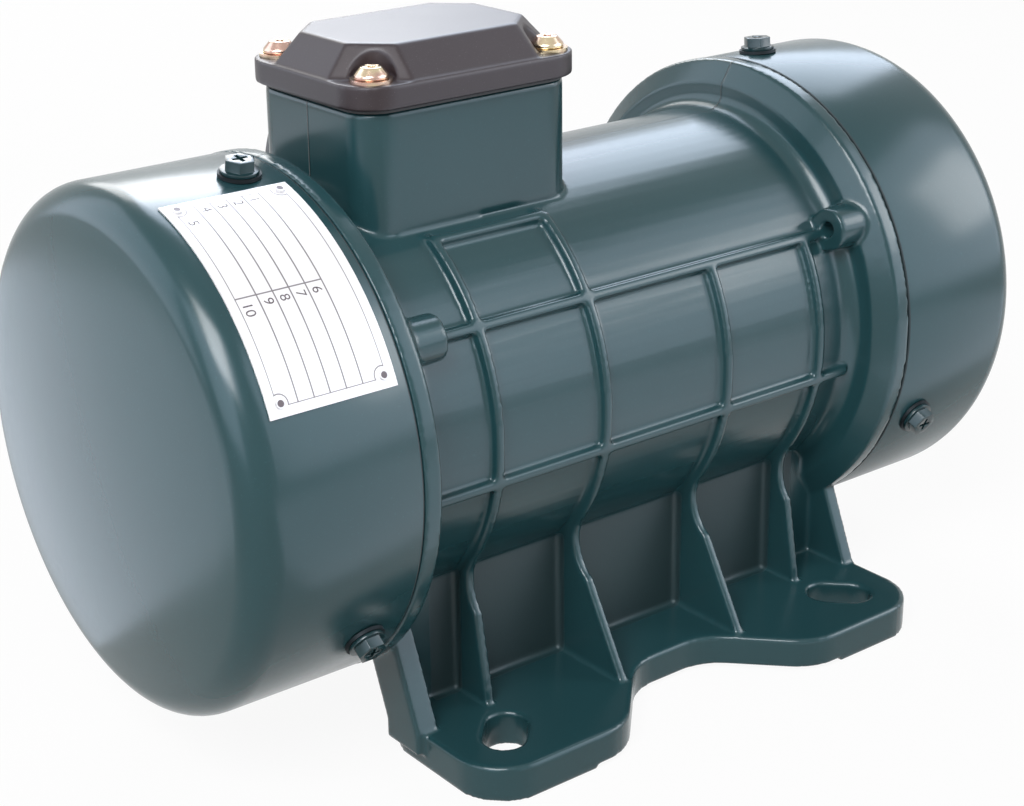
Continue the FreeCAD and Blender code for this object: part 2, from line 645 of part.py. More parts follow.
def motor_housing():
    grown = [barrel(), foot_plate(), pedestal()]
    grown += [leg(side, across) for side in (-1, 1) for across in (-1, 1)]
    for number, (pitch, foot, top) in enumerate((
            ("-rib_outer_pitch", "rib_outer_foot", "rib_crown"), ("-rib_inner_pitch", "rib_inner_foot", "rib_crown"),
            ("rib_inner_pitch", "rib_inner_foot", "rib_top"), ("rib_outer_pitch", "rib_outer_foot", "rib_top")), 1):
        grown.append(rib(number, pitch, foot, top))
    far = "(flange_inner - boss_length / 2)"
    first_rib = "(foot_centre - rib_outer_pitch)"
    for angle in ("rib_top", "rib_low"):
        grown.append(long_rib(f"-{far}", far, angle))
        grown.append(long_rib(f"-{far}", far, f"(180 - {angle})"))
    for angle in ("rib_crown", "(180 - rib_crown)"):
        grown.append(long_rib(first_rib, "(foot_centre - rib_inner_pitch)", angle))
    holes = []
    for name, side in SIDES:
        for angle in BOSS_ANGLES:
            grown.append(bar("boss_radius", "flange_inner - boss_length", FLANGE_FACE, side, "boss_circle", angle))
            holes.append(bar("shield_thread + joint_gap", "flange_inner - boss_length - 1", f"{FLANGE_FACE} + 1",
                             side, "boss_circle", angle))
        holes.append(disc(SEAT_RADIUS, FLANGE_FACE, f"{FLANGE_FACE} + boss_length", side))
    grown.append(over_box(rounded_block("box_shell", "box_half_x", "box_half_y", "box_round", "box_base", "box_top")))
    neck = rounded_block("box_neck_shell", "box_half_x - box_neck", "box_half_y - box_neck", "box_round - box_neck",
                         "axis_height + bore_radius / 2", "box_base")
    grown.append(over_box(neck))
    inside = over_box(rounded_block("box_inside", "box_half_x - box_wall", "box_half_y - box_wall",
                                    "box_round - box_wall", "box_floor", "box_top + 1"))
    pillars = at_lid_screws(lambda x, y: cylinder("lid_pillar", "box_top - box_floor + 1", x, y, "box_floor"))
    pilots = at_lid_screws(lambda x, y: cylinder("lid_thread + joint_gap", "lid_screw_length",
                                                 x, y, "box_top - lid_screw_length + lid_rim"))
    for sx in (-1, 1):
        for sy in (-1, 1):
            holes += slot(sx, sy)
    holes.append(box("2 * pad_reach", "2 * foot_half_width", "pad_height", "foot_centre - pad_reach",
                     "-foot_half_width", "0"))
    holes += [underside_core(), disc("bore_radius", f"-{FLANGE_FACE} - 1", f"{FLANGE_FACE} + 1"), *pilots,
              cylinder("lid_thread * 2", "box_floor - axis_height - bore_radius / 2",
                       "box_centre - box_half_x / 1.4", 0, "axis_height + bore_radius / 2"),
              cylinder("gland_thread + joint_gap", "box_wall + 2", "box_centre", f"{REAR_WALL} - box_wall - 1",
                       GLAND_HEIGHT, ALONG_Y)]
    return node(cut(fuse(*grown), cut(inside, *pillars), *holes), "motor_housing")


# End shields, covers and their screws -------------------------------------------

def screw_angles(name):
    return [f"{name}_screw_{spot}" for spot in ("top", "front", "rear")]


def end_shield(name, side):
    """Disc with spigot, bearing hub and the ring that the cover slips over."""
    start = f"({FLANGE_FACE} + joint_gap)"
    hub_in = "(bearing_start - joint_gap)"
    seat_end = "(bearing_start + bearing_width + joint_gap)"
    ring_end = f"({SHIELD_FACE} + skirt_length)"
    spigot_in = f"({start} - spigot_length)"
    corners = [(hub_in, "bearing_radius + joint_gap"), (hub_in, "hub_radius"), (start, "hub_radius"),
               (start, f"{BORE_FIT} - spigot_wall"), (spigot_in, f"{BORE_FIT} - spigot_wall"),
               (spigot_in, BORE_FIT), (start, BORE_FIT), (start, "skirt_radius"), (ring_end, "skirt_radius"),
               (ring_end, "skirt_radius - skirt_wall"), (WEB_FACE, "skirt_radius - skirt_wall"),
               (WEB_FACE, "hub_radius"), (f"{seat_end} + hub_lip", "hub_radius"),
               (f"{seat_end} + hub_lip", "lip_radius"), (seat_end, "lip_radius"),
               (seat_end, "bearing_radius + joint_gap")]
    disc_body = turned(f"{name}_shield_disc", sided(side, corners))
    across = f"{side} * cover_screw_x"
    bosses = [spoke("screw_boss", "screw_boss_depth", "skirt_radius - skirt_wall / 2", across, angle)
              for angle in screw_angles(name)]
    holes = [spoke("cover_thread + joint_gap", "screw_boss_depth - 1", "skirt_radius + 1", across, angle)
             for angle in screw_angles(name)]
    holes += [bar("shield_thread + joint_gap", f"{start} - 1", f"{WEB_FACE} + 1", side, "boss_circle", angle)
              for angle in BOSS_ANGLES]
    return node(cut(fuse(disc_body, *bosses), *holes), f"{name}_end_shield")


def cover(name, side):
    """Cup with a slightly raised end, which slips over the end shield's ring."""
    apex = f"({COVER_CORNER} + cover_dome)"
    inner = "(cover_radius - cover_wall)"
    lean = "atan(cover_dome / (cover_radius - cover_flat))"
    setback = f"(cover_round * tan(45 deg - {lean} / 2))"
    corners = [(COVER_START, "cover_radius"), (f"{COVER_CORNER} - {setback}", "cover_radius"),
               (f"{COVER_CORNER} + {setback} * sin({lean})", f"cover_radius - {setback} * cos({lean})",
                "cover_round", 1), (apex, "cover_flat"), (apex, "0"), (f"{apex} - cover_wall", "0"),
               (f"{apex} - cover_wall", "cover_flat"), (f"{COVER_CORNER} - cover_wall", f"{inner} - cover_round"),
               (f"{COVER_CORNER} - cover_round", inner), (COVER_START, inner)]
    cup = turned(f"{name}_cup", sided(side, corners))
    holes = [spoke("cover_thread + cover_gap", "cover_radius - cover_wall - 1", "cover_radius + 1",
                   f"{side} * cover_screw_x", angle) for angle in screw_angles(name)]
    return node(cut(cup, *holes), f"{name}_cover")


def cross_recess(radius, depth, top):
    """Two crossed bars that cut a screw's cross recess."""
    wide = f"({radius} * 0.42)"
    return [box(f"2 * {radius}", wide, depth, f"-({radius})", f"-{wide} / 2", f"{top} - {depth}"),
            box(wide, f"2 * {radius}", depth, f"-{wide} / 2", f"-({radius})", f"{top} - {depth}")]


def cover_screws():
    """Flanged hexagon screws with a cross recess, and the washers below them."""
    seat = "(cover_washer_thick + joint_gap)"
    top = f"({seat} + cover_head_height)"
    shank = "(cover_radius - screw_boss_depth - 1)"
    blank = fuse(cylinder("cover_head_flange", "cover_flange_thick", z=seat),
                 prism("cover_head_flats", "cover_head_height", z=seat),
                 cylinder("cover_thread", f"{shank} + {seat}", z=f"-{shank}"))
    screw = cut(blank, *cross_recess("cover_thread", "1.4", top))
    washer = cut(cylinder("cover_washer", "cover_washer_thick", z="joint_gap"),
                 cylinder("cover_thread + joint_gap", "cover_washer_thick + 1"))
    for name, side in SIDES:
        spots = []
        for angle in screw_angles(name):
            turn = radial(angle)
            spots.append(Placement(Vector(side * value("cover_screw_x"), 0, value("axis_height"))
                                   + turn.multVec(Z_AXIS) * value("cover_radius"), turn))
        copies(screw, f"{name}_cover_screws", spots)
        copies(washer, f"{name}_cover_washers", spots)


def shield_screws():
    """Socket head screws that hold the end shields to the casting's bosses."""
    blank = fuse(cylinder("shield_head", "shield_head_height", z="joint_gap"),
                 cylinder("shield_thread", "shield_screw_length + 1", z="-shield_screw_length"))
    screw = cut(blank, prism("2 * key_socket", "shield_head_height / 2", z="shield_head_height / 2 + joint_gap"))
    for name, side in SIDES:
        turn = ALONG_X if side > 0 else Rotation(Y_AXIS, -90)
        spots = []
        for angle in BOSS_ANGLES:
            out = radial(angle).multVec(Z_AXIS) * value("boss_circle")
            spots.append(Placement(Vector(side * value(WEB_FACE), 0, value("axis_height")) + out, turn))
        copies(screw, f"{name}_shield_screws", spots)


def rating_plate():
    """Thin blank plate bent round the left cover, and its four rivets."""
    inner = "(cover_radius + joint_gap)"
    turn = ALONG_X.multiply(Rotation(Z_AXIS, 270 - value("plate_low") - value("plate_spread")))
    start = "-(plate_start + plate_width)"
    outer = cylinder(f"{inner} + plate_skin", "plate_width", start, 0, "axis_height", turn)
    bind(outer, Angle="plate_spread")
    node(cut(outer, disc(inner, f"{start} - 1", "-plate_start + 1")), "rating_plate")
    head = cylinder("rivet_radius", "rivet_height")
    spots = []
    for across in ("plate_start + rivet_inset_x", "plate_start + plate_width - rivet_inset_x"):
        for angle in ("plate_low + rivet_inset", "plate_low + plate_spread - rivet_inset"):
            out = radial(angle)
            spots.append(Placement(Vector(-value(across), 0, value("axis_height"))
                                   + out.multVec(Z_AXIS) * value(f"{inner} + plate_skin + joint_gap"), out))
    copies(head, "plate_rivets", spots)


# Motor inside ---------------------------------------------------------------------

def plain_ring(label, inner, outer, start, end):
    return turned(label, [(start, inner), (end, inner), (end, outer), (start, outer)])


def stator_and_rotor():
    node(plain_ring("stator_core", "stator_bore", BORE_FIT, "-stator_half", "stator_half"), "stator_core")
    bevel = "(winding_length / 4)"
    coils = []
    for name, side in SIDES:
        start, end = "(stator_half + joint_gap)", "(stator_half + winding_length)"
        corners = [(start, "winding_inner"), (f"{end} - {bevel}", "winding_inner"),
                   (end, f"winding_inner + {bevel}"), (end, f"winding_outer - {bevel}"),
                   (f"{end} - {bevel}", "winding_outer"), (start, "winding_outer")]
        coils.append(turned(f"{name}_winding", sided(side, corners)))
    node(fuse(*coils), "stator_windings")
    end = "(stator_half + rotor_ring)"
    outside = "(stator_bore - air_gap)"
    low = "(shaft_radius + shaft_fit)"
    half = [("stator_half", low), ("stator_half", f"{low} + ring_relief"), (end, f"{low} + ring_relief"),
            (end, f"{outside} - ring_step"), ("stator_half", f"{outside} - ring_step"), ("stator_half", outside)]
    corners = half + [(f"-{x}", radius) for x, radius in half[::-1]]
    node(turned("rotor_core", corners), "rotor_core")


def key_box(x, side, spare="0"):
    """The key on top of the shaft, or the space that it needs."""
    first = x if side > 0 else f"-({x}) - key_length"
    return box(f"key_length + 2 * {spare}", f"key_width + 2 * {spare}", f"key_width + 2 * {spare}",
               f"{first} - {spare}", f"-key_width / 2 - {spare}",
               f"axis_height + seat_radius - key_sunk - {spare}")


KEY_START = "(weight_start + (weight_thick - key_length) / 2)"


def shaft():
    half = [("seat_radius", "shaft_half"), ("seat_radius", "seat_start"), ("journal_radius", "seat_start"),
            ("journal_radius", "bearing_start"), ("shaft_radius", "bearing_start")]
    corners = [("-shaft_half", "0")] + [(f"-({x})", r) for r, x in half]
    corners += [(x, r) for r, x in half[::-1]] + [("shaft_half", "0")]
    body = turned("shaft_blank", corners)
    ways = [key_box(KEY_START, side, "joint_gap") for name, side in SIDES]
    node(cut(body, *ways), "shaft")
    node(fuse(*[key_box(KEY_START, side) for name, side in SIDES]), "weight_keys")
    rings = []
    for name, side in SIDES:
        start = f"({OUTER_WEIGHT_END} + weight_gap)"
        corners = [(start, "seat_radius + shaft_fit"), (f"{start} + ring_thick", "seat_radius + shaft_fit"),
                   (f"{start} + ring_thick", "ring_radius"), (start, "ring_radius")]
        rings.append(turned(f"{name}_ring", sided(side, corners)))
    node(fuse(*rings), "shaft_end_rings")


def bearings():
    outer, inner = [], []
    end = "(bearing_start + bearing_width)"
    for name, side in SIDES:
        bore = "(bearing_radius - ring_wall)"
        corners = [("bearing_start", bore), (f"{end} - dust_shield", bore),
                   (f"{end} - dust_shield", f"{bore} - shield_lap"), (end, f"{bore} - shield_lap"),
                   (end, "bearing_radius"), ("bearing_start", "bearing_radius")]
        outer.append(turned(f"{name}_bearing_outer", sided(side, corners)))
        low = "(journal_radius + shaft_fit)"
        corners = [("bearing_start + joint_gap", low), (end, low), (end, f"{low} + ring_wall"),
                   ("bearing_start + joint_gap", f"{low} + ring_wall")]
        inner.append(turned(f"{name}_bearing_inner", sided(side, corners)))
    node(fuse(*outer), "bearing_outer_rings")
    node(fuse(*inner), "bearing_inner_rings")


def set_screw_at(x, side, start, end, radius="set_screw"):
    return spoke(radius, start, end, f"{side} * ({x})", "180")


def weight(side, start, hub_start):
    """Fan-shaped eccentric weight that hangs below its hub, with a set screw's hole."""
    turn = ALONG_X.multiply(Rotation(Z_AXIS, -value("weight_spread") / 2))
    end = f"({start} + weight_thick)"
    first = start if side > 0 else f"-({end})"
    fan = cylinder("weight_radius", "weight_thick", first, 0, "axis_height", turn)
    bind(fan, Angle="weight_spread")
    hub = disc("weight_hub", hub_start, end, side)
    bore = disc("seat_radius + shaft_fit", f"{hub_start} - 1", f"{end} + 1", side)
    middle = f"{start} + weight_thick / 2"
    screw_hole = set_screw_at(middle, side, "0", "weight_radius", "set_screw + joint_gap")
    return fuse(fan, hub), [bore, screw_hole]


def weights():
    fixed_screws = []
    inside, outside = "(seat_radius + shaft_fit)", "(weight_hub - 1)"
    for name, side in SIDES:
        solid, holes = weight(side, "weight_start", "hub_start")
        node(cut(solid, *holes, key_box(KEY_START, side, "joint_gap")), f"{name}_inner_weight")
        fixed_screws.append(set_screw_at("weight_start + weight_thick / 2", side, inside, outside))
        solid, holes = weight(side, OUTER_WEIGHT_START, OUTER_WEIGHT_START)
        node(cut(solid, *holes), f"{name}_outer_weight")
        screw = set_screw_at(f"{OUTER_WEIGHT_START} + weight_thick / 2", side, inside, outside)
        node(screw, f"{name}_outer_weight_screw")
    node(fuse(*fixed_screws), "inner_weight_screws")


# Terminal box fittings --------------------------------------------------------------

def lid():
    """Lid with a rim, a raised eight-sided crown and a hollow inside."""
    half_x, half_y = "(box_half_x + lid_overhang)", "(box_half_y + lid_overhang)"
    rim = over_box(rounded_block("lid_rim_block", half_x, half_y, "lid_round", LID_BOTTOM, LID_SHELF))
    crown = doc.addObject("PartDesign::Body", "lid_crown")
    foot = outline(crown, "crown_foot", "XY",
                   octagon(f"({half_x} - crown_inset)", f"({half_y} - crown_inset)", "crown_cut"))
    top = outline(crown, "crown_top", "XY",
                  octagon(f"({half_x} - crown_slope_x)", f"({half_y} - crown_slope_y)", "crown_top_cut"))
    top.AttachmentOffset = Placement(Vector(0, 0, value("lid_crown")), Rotation())
    top.setExpression("AttachmentOffset.Base.z", linked("lid_crown"))
    loft = crown.newObject("PartDesign::AdditiveLoft", "crown_raised")
    loft.Profile = foot
    loft.Sections = [top]
    loft.Ruled = True
    over_box(place(crown, z=LID_SHELF))
    low = padded("lid_hollow", octagon(f"({half_x} - 2 * lid_skin)", f"({half_y} - 2 * lid_skin)", "crown_cut"),
                 f"{LID_BOTTOM} - 1", LID_SHELF)
    high = padded("crown_hollow", octagon(f"({half_x} - crown_slope_x - lid_skin)",
                                          f"({half_y} - crown_slope_y - lid_skin)", "crown_top_cut"),
                  f"{LID_SHELF} - 1", f"{LID_SHELF} + lid_crown - lid_skin")
    holes = at_lid_screws(lambda x, y: cylinder("lid_thread + cover_gap", "2 * lid_rim", x, y, LID_BOTTOM))
    scoops = at_lid_screws(lambda x, y: cylinder("lid_washer + 1", "lid_crown + 1", x, y, LID_SHELF))
    node(cut(fuse(rim, crown), over_box(low), over_box(high), *holes, *scoops), "terminal_box_lid")


def lid_fixings():
    frame_in = ("box_half_x - box_wall", "box_half_y - box_wall", "box_round - box_wall")
    outside = over_box(rounded_block("gasket_outside", "box_half_x", "box_half_y", "box_round",
                                     "box_top", LID_BOTTOM))
    inside = over_box(rounded_block("gasket_inside", *frame_in, "box_top - 1", f"{LID_BOTTOM} + 1"))
    ears = at_lid_screws(lambda x, y: cylinder("lid_pillar", "gasket_thick + 2", x, y, "box_top - 1"))
    holes = at_lid_screws(lambda x, y: cylinder("lid_thread + cover_gap", "gasket_thick + 2", x, y, "box_top - 1"))
    node(cut(outside, cut(inside, *ears), *holes), "lid_gasket")
    seat = "(lid_washer_thick + joint_gap)"
    top = f"({seat} + lid_head_height)"
    blank = lathe("lid_screw", [("0", "-lid_screw_length"), ("lid_thread", "-lid_screw_length"),
                                ("lid_thread", seat), ("lid_head", seat), ("lid_head", f"{seat} + lid_head_height / 3"),
                                ("lid_head * 0.6", top), ("0", top)])
    screw = cut(blank, *cross_recess("lid_thread", "1.6", top))
    washer = cut(cylinder("lid_washer", "lid_washer_thick", z="joint_gap"),
                 cylinder("lid_thread + joint_gap", "lid_washer_thick + 1"))
    spots = [Placement(Vector(value("box_centre") + sx * value("lid_pitch_x"), sy * value("lid_pitch_y"),
                              value(LID_SHELF)), Rotation()) for sx in (-1, 1) for sy in (-1, 1)]
    copies(screw, "lid_screws", spots)
    copies(washer, "lid_washers", spots)


def terminals():
    """Terminal block with barriers, three studs with nuts, and the run capacitor."""
    floor = "(box_floor + joint_gap)"
    start = "(box_centre - block_half)"
    block = [box("2 * block_half", "block_deep", "block_height", start, "-block_front", floor)]
    for index in range(4):
        block.append(box("barrier_thick", "block_deep", "block_height * 1.6",
                         f"{start} + {index} * (2 * block_half - barrier_thick) / 3", "-block_front", floor))
    node(fuse(*block), "terminal_block")
    stud = fuse(cylinder("stud_radius", "stud_length"), prism("stud_flats", "stud_nut", z="joint_gap"))
    spots = [Placement(Vector(value(f"box_centre + {step} * (2 * block_half - barrier_thick) / 3"),
                              value("block_deep / 2 - block_front"), value(f"{floor} + block_height + joint_gap")),
                       Rotation()) for step in (-1, 0, 1)]
    copies(stud, "terminal_studs", spots)
    capacitor = rounded_block("capacitor_case", "capacitor_half_x", "capacitor_half_y", "capacitor_round",
                              floor, "box_floor + capacitor_height")
    node(over_box(capacitor, "capacitor_y"), "run_capacitor")


def gland():
    """Cable gland through the rear wall: body, nut and rubber seal."""
    wall, x, z = REAR_WALL, "box_centre", GLAND_HEIGHT
    face = f"({wall} + joint_gap)"
    hex_end = f"({face} + gland_hex)"
    thread_end = f"({hex_end} + gland_tail - 2)"
    tail = f"({wall} - box_wall - gland_tail / 2)"
    body = fuse(cylinder("gland_thread", f"{thread_end} - {tail}", x, tail, z, ALONG_Y),
                prism("gland_flats", "gland_hex", x, face, z, ALONG_Y))
    node(cut(body, cylinder("seal_radius + joint_gap", "60", x, 0, z, ALONG_Y)), "gland_body")
    start = f"({hex_end} + 0.2)"
    nose = "(nut_length * 0.4)"
    nut = fuse(cylinder("nut_radius", f"nut_length - {nose}", x, start, z, ALONG_Y),
               cone("nut_radius", "nut_nose", nose, x, f"{start} + nut_length - {nose}", z, ALONG_Y))
    inner = cylinder("gland_thread + joint_gap", f"{thread_end} - {start} + 0.2", x, start, z, ALONG_Y)
    node(cut(nut, inner, cylinder("cord_radius + cover_gap", "60", x, wall, z, ALONG_Y)), "gland_nut")
    seal = cylinder("seal_radius", f"{LEAD[0][1]} - {tail} - 1", x, f"{tail} + 1", z, ALONG_Y)
    node(seal, "gland_seal")


# Cable ----------------------------------------------------------------------------

def tube(points):
    """A round cable along straight runs joined by tangent arcs."""
    spots = [Vector(*point) for point in points]
    edges, last = [], spots[0]
    for before, corner, after in zip(spots, spots[1:], spots[2:]):
        come, leave = (corner - before), (after - corner)
        turn = come.getAngle(leave)
        setback = 0.45 * min(come.Length, leave.Length)
        first = corner - come.normalize() * setback
        second = corner + leave.normalize() * setback
        radius = setback / math.tan(turn / 2)
        inward = (leave - come).normalize()
        middle = corner + inward * (radius / math.cos(turn / 2) - radius)
        edges.append(Part.makeLine(last, first))
        edges.append(Part.Arc(first, middle, second).toShape())
        last = second
    edges.append(Part.makeLine(last, spots[-1]))
    section = Part.Wire([Part.makeCircle(value("cord_radius"), spots[0], spots[1] - spots[0])])
    return Part.Wire(edges).makePipeShell([section], True, False)


def lead_route():
    """The lead's points, its drop stretched to the gland's height."""
    floor = LEAD[-1][2]
    drop = (value(GLAND_HEIGHT) - floor) / (LEAD[0][2] - floor)
    return [(x, y, floor + (z - floor) * drop) for x, y, z in LEAD]


def cable():
    lead = doc.addObject("Part::Feature", "supply_cord")
    lead.Shape = Part.makeCompound([tube(lead_route()), tube(TAIL)])
    node(lead, "supply_cord")
    half = "(cord_radius * coil_rows)"
    bevel = "(cord_radius * 0.7)"
    low, high = f"(coil_turn - {half})", f"(coil_turn + {half})"
    top = f"(2 * {half})"
    ring = lathe("coil_ring", [(f"{low} + {bevel}", "0"), (f"{high} - {bevel}", "0"), (high, bevel),
                               (high, f"{top} - {bevel}"), (f"{high} - {bevel}", top), (f"{low} + {bevel}", top),
                               (low, f"{top} - {bevel}"), (low, bevel)])
    node(place(ring, "coil_x", "coil_y", "floor_gap"), "supply_cord_coil")


def plug():
    """Moulded plug with a tapered cable end and three flat pins."""
    neck = "(cord_radius + 3)"
    corners = [("0", f"-{neck}"), ("plug_length / 3", f"-{neck} - 1"), ("plug_length / 2", "-plug_half_width"),
               ("plug_length", "-plug_half_width"), ("plug_length", "plug_half_width"),
               ("plug_length / 2", "plug_half_width"), ("plug_length / 3", f"{neck} + 1"), ("0", neck)]
    body = padded("plug_shell", corners, "floor_gap", "2 * plug_half_height")
    round_edges(body, "cord_radius / 2", is_upright)
    node(place(body, "plug_x", "plug_y", "floor_gap"), "plug_body")
    front = Vector(value("plug_x + plug_length + joint_gap"), value("plug_y"), value("plug_half_height"))
    blade = box("pin_length", "pin_thick", "pin_width", 0, "-pin_thick / 2", "-pin_width / 2")
    spread, tilt = value("pin_spread"), value("pin_tilt")
    spots = [Placement(front + Vector(0, way * spread, value("pin_rise")), Rotation(X_AXIS, -way * tilt))
             for way in (-1, 1)]
    spots.append(Placement(front - Vector(0, 0, value("pin_drop")), Rotation()))
    copies(blade, "plug_pins", spots)


def check(target):
    """Stop if a sub-part is failed, empty or invalid."""
    shape = target.Shape
    if shape.isNull() or not shape.isValid() or not shape.Solids:
        raise RuntimeError(f"{target.Label} has no valid solid")


motor_housing()
for name, side in SIDES:
    end_shield(name, side)
    cover(name, side)
cover_screws()
shield_screws()
rating_plate()
stator_and_rotor()
shaft()
bearings()
weights()
lid()
lid_fixings()
terminals()
gland()
cable()
plug()
doc.recompute()

for item in doc.Objects:
    if "Invalid" in item.State or "Error" in item.State:
        raise RuntimeError(f"{item.Label} did not recompute")
os.makedirs("parts", exist_ok=True)
for item in nodes:
    check(item)
for item in nodes:
    item.Shape.exportStep(f"parts/{item.Label}.step")
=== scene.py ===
"""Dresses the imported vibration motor: painted castings, lid, plate, fasteners, cable, stage and camera."""
import contextlib
import json
import math

import bmesh
import bpy
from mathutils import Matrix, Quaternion, Vector


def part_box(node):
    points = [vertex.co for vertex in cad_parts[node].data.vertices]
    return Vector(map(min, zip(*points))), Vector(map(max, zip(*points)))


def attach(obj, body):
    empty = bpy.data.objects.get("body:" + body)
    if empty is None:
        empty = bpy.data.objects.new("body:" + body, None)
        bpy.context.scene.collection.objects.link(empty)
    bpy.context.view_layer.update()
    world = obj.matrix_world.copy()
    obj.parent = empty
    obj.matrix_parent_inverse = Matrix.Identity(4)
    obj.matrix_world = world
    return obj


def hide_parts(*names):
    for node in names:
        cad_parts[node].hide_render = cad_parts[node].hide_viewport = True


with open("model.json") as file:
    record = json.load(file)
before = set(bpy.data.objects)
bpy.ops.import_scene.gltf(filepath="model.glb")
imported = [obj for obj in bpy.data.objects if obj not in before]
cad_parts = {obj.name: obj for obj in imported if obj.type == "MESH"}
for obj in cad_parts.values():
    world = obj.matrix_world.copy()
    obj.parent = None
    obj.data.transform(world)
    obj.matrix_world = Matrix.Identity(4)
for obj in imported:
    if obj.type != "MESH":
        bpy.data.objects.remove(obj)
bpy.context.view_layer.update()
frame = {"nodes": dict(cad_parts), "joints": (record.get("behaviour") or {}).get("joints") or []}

bl_info = {
    "name": "Vibration Motor",
    "version": (1, 0, 0),
    "blender": (4, 5, 0),
    "location": "3D View > Sidebar > Motor",
    "description": "Models and finishes a foot-mounted vibration motor round its fixed frame",
    "category": "Object",
}

ENDS = (("left", -1), ("right", 1))
AXIS_HEIGHT = next(joint["pos_m"][2] for joint in frame["joints"] if joint["name"] == "rotor_spin")
COVER_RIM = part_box("right_cover")[0].x
# A length below this counts as none.
HAIR = 1e-6

# Route of the cable, in metres: from the gland down to its coil, round the coil, then to the plug.
LEAD = [
    (-0.0404, 0.0375, 0.178), (-0.0404, 0.0575, 0.178), (-0.0404, 0.0727, 0.16925), (-0.0404, 0.0815, 0.154),
    (-0.0404, 0.0848, 0.1303), (-0.0404, 0.0917, 0.095), (-0.0404, 0.097, 0.0575), (-0.0404, 0.107, 0.0253),
    (-0.0404, 0.13, 0.0036), (-0.032, 0.1545, 0.0036), (-0.008, 0.165, 0.0036), (0.018, 0.1585, 0.0036),
    (0.0425, 0.1474, 0.0036),
]
TAIL = [(0.0775, 0.1474, 0.0107), (0.093, 0.1544, 0.0114), (0.11, 0.1574, 0.0111)]
CORD_RADIUS = 0.0035


# Measures, in metres ----------------------------------------------------------------

class Coil:
    """The cable's coil of two layers. Angles are in degrees, and each change has its start and its length."""
    centre = (0.06, 0.185)
    outer, inner = 0.0415, 0.0344
    low, high = 0.0036, 0.0107
    start, length, step = -115, 1130, 20
    inwards, upwards, outwards = (310, 50), (620, 60), (940, 50)


class Sleeve:
    """The cable's tapered sleeve, measured along the cable from its gland."""
    start, end = 0.003, 0.03
    radius, taper = 0.0059, 0.06


class Casting:
    """Measures that tell the housing's foot, ribs and bays apart. The bays lie between the ribs' feet."""
    flats_bend = (math.radians(4), math.radians(50))
    foot_top, foot_edge = 0.0145, 0.008
    rib_foot_top, rib_foot_start, rib_width = 0.075, 0.04, (0.002, 0.006)
    bay_height, bay_half_height = 0.031, 0.018
    bay_middle, bay_half_length = 0.0048, 0.076
    bay_back, bay_mouth = (0.03, 0.038), 0.046
    seam_bottom, seam_half_width = 0.1, 0.0002


class Cover:
    """How finely an end cover is modelled. The rings are shares of its crown's radius."""
    sides, arc_steps = 144, 10
    rings = (1, 0.88, 0.76, 0.63, 0.5, 0.37, 0.24, 0.1)
    rim_round = 0.0005


class Plate:
    """The rating plate: down runs from its top end, across from its outer edge."""
    low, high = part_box("rating_plate")
    radius, thickness = 0.0795, 0.0005
    top_angle = math.asin((high.z - AXIS_HEIGHT) / radius)
    low_angle = math.asin((low.z - AXIS_HEIGHT) / (radius - thickness))
    length = (top_angle - low_angle) * radius
    start, width = low.x, high.x - low.x
    margin = 0.0028
    rows = (0.0093, 0.0143, 0.0193, 0.0244, 0.0296)
    split = 0.53 * length
    rivet_down, rivet_across = math.radians(2.6) * radius, 0.0038
    rivet_punch, rivet_ring, rivet_room = 0.00105, 0.0026, 0.0045
    figure_down, figure_across, figure_share = 0.0016, 0.0012, 0.7
    ink_depth = 0.00002

    @classmethod
    def point(cls, down, across, lift):
        """A place on the plate, lifted off its face."""
        angle = cls.top_angle - down / cls.radius
        far = cls.radius + lift
        return Vector((cls.start + across, -far * math.cos(angle), AXIS_HEIGHT + far * math.sin(angle)))


class View:
    """The main view: azimuth, height and roll in degrees, the point looked at, the distance and the lens."""
    angles = (-36.939, 20.812, -1.085)
    target, distance = (-0.02144, 0, 0.09225), 0.6622
    lens, sensor, shift = 72.48, 36, (0.0405, -0.0303)


# Lamps: name, place, size and the stage setting that holds the power.
LAMPS = (
    ("key_lamp", (-1.0, -0.7, 1.25), 0.8, "key"),
    ("fill_lamp", (1.3, -0.9, 0.8), 0.7, "fill"),
    ("rear_lamp", (0.5, 1.3, 1.0), 0.8, "rim"),
)
# Cards that only show as reflections: name, place, size and share of the reflectors' brightness.
CARDS = (
    ("front_card", (1.35, -1.3, 0.85), 2, 0.75),
    ("rear_card", (1.15, 1.15, 1.6), 1.5, 1.6),
    ("left_card", (-1.5, -0.5, 0.75), 1.2, 0.8),
    ("rear_left_card", (-1.35, 1.3, 0.85), 2, 0.6),
    ("top_left_card", (-1.15, -1.15, 1.6), 1.2, 0.8),
)
# Cards that lie on the table and face up: name, place and share.
TABLE_CARDS = (("left_table_card", (-0.46, 0.36), 0.34), ("front_table_card", (0.22, -0.43), 0.36))
# Share of the floor that is plain white where it is seen; the rest takes the shadow.
FLOOR_WHITE = 0.93


# Settings -----------------------------------------------------------------------

